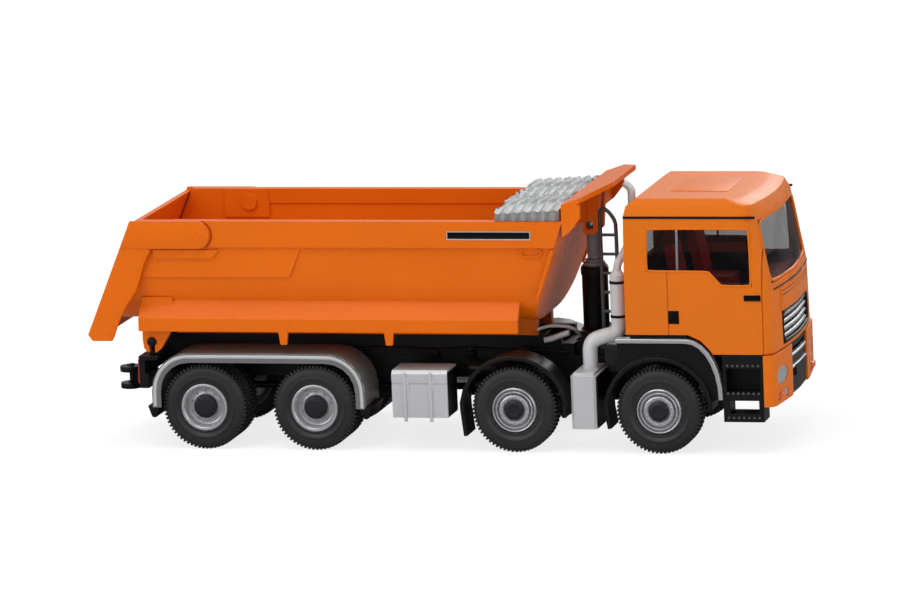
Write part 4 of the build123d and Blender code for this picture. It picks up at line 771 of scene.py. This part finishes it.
# Three thin black lines under the windscreen: the top one is the black cowl, and the two fine ones below it
# are painted shade, the dark of two shallow grooves across the panel.
for number, (z, reach, radius) in enumerate(((22.9, 11.5, 0.12), (22.1, 8.4, 0.07), (21.5, 8.4, 0.07)), 1):
    run = [-reach, -reach / 2, 0, reach / 2, reach]
    cowl_and_groove_shade = pipe(f"cowl_and_groove_shade_line_{number}", [(nose_front(y, z) + (0.02 if number == 1 else 0.1), y, z)
                                        for y in run], radius)
    finish_piece(cowl_and_groove_shade, "chassis", flat_black, edge=0)
lamp = moulded_plastic("lamp_plastic", (0.46, 0.48, 0.50), 0.14, metal=0.45)
dress_nodes(["headlamps"], lamp, edge=0.1)
for number, z in enumerate((12.3, 10.6), 1):
    run = [(nose_front(y, z) - 0.22, y, z) for y in (-4.9, -2.5, 0, 2.5, 4.9)]
    finish_piece(pipe(f"lower_slat_{number}", run, 0.24), "chassis", bright_silver, edge=0)
amber = moulded_plastic("amber_plastic", (0.75, 0.14, 0.03), 0.15)
dress_nodes(["indicators"], lamp, edge=0.05)
for side, word in ((-1, "right"), (1, "left")):
    for number, (y, radius) in enumerate(((9.1, 0.72), (11.0, 0.72)), 1):
        eye = turned(f"lamp_reflector_{word}_{number}", [(radius, 0), (radius, 0.25), (radius * 0.85, 0.32),
                                                         (radius * 0.8, 0.2), (radius * 0.35, 0.05)], 28)
        place = Vector((nose_front(y, 14.2) - 0.25, side * y, 10.75)) * MM
        eye.data.transform(Matrix.Translation(place) @ Matrix.Rotation(-pi / 2 + side * 0.16, 4, "Z"))
        finish_piece(eye, "chassis", lamp, edge=0)
    flasher = rough_block(f"flasher_{word}", (48.3, side * 10.9 - 0.8, 7.55),
                          (49.35, side * 10.9 + 0.8, 8.35))
    pick_faces(flasher, (1, 0, 0))
    bpy.ops.mesh.inset(thickness=0.15 * MM)
    bpy.ops.transform.translate(value=(-0.12 * MM, 0, 0))
    finish_piece(flasher, "chassis", amber, edge=0.05)
tooth_count = 7
for row, z in enumerate((12.45, 8.55, 5.15), 1):
    tooth = rough_block(f"step_teeth_right_{row}", (41.9, -13.98, z), (42.3, -13.5, z + 0.34))
    pick_faces(tooth, (0, 0, 1))
    bpy.ops.transform.resize(value=(0.5, 0.8, 1))
    bpy.ops.object.mode_set(mode="OBJECT")
    row_of_teeth = tooth.modifiers.new("row", "ARRAY")
    row_of_teeth.count = tooth_count
    row_of_teeth.use_relative_offset = False
    row_of_teeth.use_constant_offset = True
    row_of_teeth.constant_offset_displace = (0.72 * MM, 0, 0)
    bpy.ops.object.modifier_apply(modifier=row_of_teeth.name)
    finish_piece(tooth, "chassis", rail_grey, edge=0.03)
    copy_of(tooth, f"step_teeth_left_{row}", other_side, "chassis")

# Bed: one orange moulding, a half round trough with upright sides, a rail along the top, skirts and
# a visor. A black marker plate, left blank, is printed near the front of each side.
dress_nodes(["bed"], orange, edge=0.16, angle=24)
backing = rough_block("marker_edge_right", (3.05, -14.17, 30.15), (15.0, -13.95, 31.35))
pick_faces(backing, (0, -1, 0))
bpy.ops.mesh.inset(thickness=0.1 * MM)
bpy.ops.transform.translate(value=(0, 0.05 * MM, 0))
finish_piece(backing, "bed", silver, edge=0)
copy_of(backing, "marker_edge_left", other_side, "bed")
plate = rough_block("bed_marker_right", (3.2, -14.2, 30.3), (14.85, -13.95, 31.2))
pick_faces(plate, (0, -1, 0))
bpy.ops.mesh.inset(thickness=0.12 * MM)
bpy.ops.transform.translate(value=(0, 0.06 * MM, 0))
finish_piece(plate, "bed", flat_black, edge=0.03)
copy_of(plate, "bed_marker_left", other_side, "bed")
oblong = [(13.9, 28.9), (13.4, 28.5), (13.4, 28.1), (13.9, 27.7), (15.9, 27.7), (16.4, 28.1), (16.4, 28.5),
          (15.9, 28.9)]
rim = pipe("bed_rim_right", [(x, -13.78 - 0.01 * (z - 28.3), z) for x, z in oblong], 0.13, closed=True)
finish_piece(rim, "bed", orange, edge=0)
copy_of(rim, "bed_rim_left", other_side, "bed")
flange = pipe("front_flange_right", [(15.6, -13.5, 22.0), (16.3, -13.7, 24.0), (18.0, -13.85, 28.7)], 0.3)
finish_piece(flange, "bed", orange, edge=0)
copy_of(flange, "front_flange_left", other_side, "bed")

# Tarpaulin: folded in six broad pleats over the front of the bed, with its sides hanging in upright
# folds over the rails. On the model it is a stiff grey moulding that is clipped on.
cloth = moulded_plastic("tarp_grey", (0.34, 0.35, 0.355), 0.4, grain=0.12, grain_size=0.25, tint=0.1,
                        slot="grey_plastic")
tarp_rear, tarp_front, tarp_half, tarp_low, tarp_high = 9.9, 19.0, 14.02, 32.75, 34.6
tarp = rough_block("folded_tarp", (tarp_rear, -tarp_half, tarp_low), (tarp_front, tarp_half, tarp_high))
bpy.ops.object.mode_set(mode="EDIT")
bpy.ops.mesh.select_all(action="SELECT")
bpy.ops.mesh.subdivide(number_cuts=79)
bpy.ops.object.mode_set(mode="OBJECT")
fold_length = 1.42
for corner in tarp.data.vertices:
    x, y, z = (value / MM for value in corner.co)
    height = (z - tarp_low) / (tarp_high - tarp_low)
    wander = 0.35 * sin(y * 0.45) + 0.15 * sin(y * 1.3 + 1.0)
    fold = 1 - 2 * abs(sin(pi * (x + wander) / fold_length)) ** 0.8
    across = max(0.0, 1 - (abs(y) / tarp_half) ** 6)
    rise = 0.5 * (x - tarp_rear) / (tarp_front - tarp_rear) - 0.35
    lift = rise + (0.42 * fold + 0.03 * sin(1.9 * y + x)) * (0.4 + 0.6 * across)
    corner.co.z = (z + height * (lift - 0.5 * (abs(y) / tarp_half) ** 8)) * MM
    if abs(y) > tarp_half - 0.12:
        corner.co.y += (0.42 * fold - 0.25) * (1 if y > 0 else -1) * MM
    if x < tarp_rear + 0.05 or x > tarp_front - 0.05:
        corner.co.x += (0.14 * sin(2.1 * y) + 0.08 * sin(5.3 * y)) * height * MM
bpy.ops.object.modifier_add(type="SMOOTH")
bpy.ops.object.modifier_apply(modifier=tarp.modifiers[0].name)
finish_piece(tarp, "bed", cloth, edge=0, angle=60)
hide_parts("tarp")

# Tailgate: a sloping orange plate between two side plates, hung from round ended arms on pins. Three upright
# ribs stiffen the back, and an orange cap covers each pin.
dress_nodes(["tailgate"], orange, edge=0.16, angle=24)
slope = 0.426
bpy.ops.object.select_all(action="DESELECT")
pivot_x, pivot_z, arm_radius = -33.0, 30.75, 1.86
bpy.ops.mesh.primitive_circle_add(vertices=36, radius=arm_radius * MM, fill_type="NGON",
                                  location=(pivot_x * MM, -14.68 * MM, pivot_z * MM),
                                  rotation=(pi / 2, 0, 0))
arm = bpy.context.object
arm.name = "arm_plate_right"
bpy.ops.object.transform_apply(location=True, rotation=True, scale=True)
for corner in arm.data.vertices:
    x, z = corner.co.x / MM, corner.co.z / MM
    if x < pivot_x:
        high = z > pivot_z
        corner.co.z = (pivot_z + (arm_radius if high else -arm_radius)) * MM
        share = (pivot_x - x) / arm_radius
        corner.co.x = (pivot_x - share * (9.75 if high else 11.3)) * MM
bpy.ops.object.mode_set(mode="EDIT")
bpy.ops.mesh.select_all(action="SELECT")
bpy.ops.mesh.extrude_region_move(TRANSFORM_OT_translate={"value": (0, 0.2 * MM, 0)})
bpy.ops.mesh.select_all(action="SELECT")
bpy.ops.mesh.remove_doubles(threshold=0.001 * MM)
bpy.ops.mesh.normals_make_consistent(inside=False)
finish_piece(arm, "tailgate", orange, edge=0.05)
copy_of(arm, "arm_plate_left", other_side, "tailgate")
fold_edge = pipe("side_fold_right", [(-46.0, -14.45, 16.2), (-44.7, -14.45, 19.9), (-42.3, -14.45, 22.8),
                                     (-41.0, -14.45, 27.2), (-40.0, -14.45, 28.7)], 0.26)
finish_piece(fold_edge, "tailgate", orange, edge=0)
copy_of(fold_edge, "side_fold_left", other_side, "tailgate")
for number, y in enumerate((-6.8, 0, 6.8), 1):
    rib = rough_block(f"tailgate_rib_{number}", (-49.9, y - 0.6, 17.2), (-49.1, y + 0.6, 31.2))
    bpy.ops.object.mode_set(mode="OBJECT")
    for corner in rib.data.vertices:
        corner.co.x += slope * (corner.co.z - 16.5 * MM)
    finish_piece(rib, "tailgate", orange, edge=0.15)
cap = turned("pivot_cap_right", [(0.3, -14.76), (0.62, -14.76), (0.7, -14.7), (0.7, -14.3), (0.3, -14.3)],
             32, (pivot_x, pivot_z))
finish_piece(cap, "bed", orange, edge=0)
copy_of(cap, "pivot_cap_left", other_side, "bed")

# Tail lamps: a red clear lens in each black housing, moulded with grooves that part it.
# It is pushed into the housing from behind.
red = moulded_plastic("red_plastic", (0.55, 0.03, 0.015), 0.15)
dress_nodes(["tail_lamps"], red, edge=0.08)
for side, word in ((-1, "right"), (1, "left")):
    lens = rough_block(f"lamp_lens_{word}", (-43.05, side * 10.7 - 1.95, 9.2),
                       (-42.9, side * 10.7 + 1.95, 12.6))
    pick_faces(lens, (-1, 0, 0))
    bpy.ops.mesh.subdivide(number_cuts=2)
    bpy.ops.mesh.inset(thickness=0.1 * MM, use_individual=True)
    bpy.ops.transform.translate(value=(-0.06 * MM, 0, 0))
    finish_piece(lens, "chassis", red, edge=0.03)
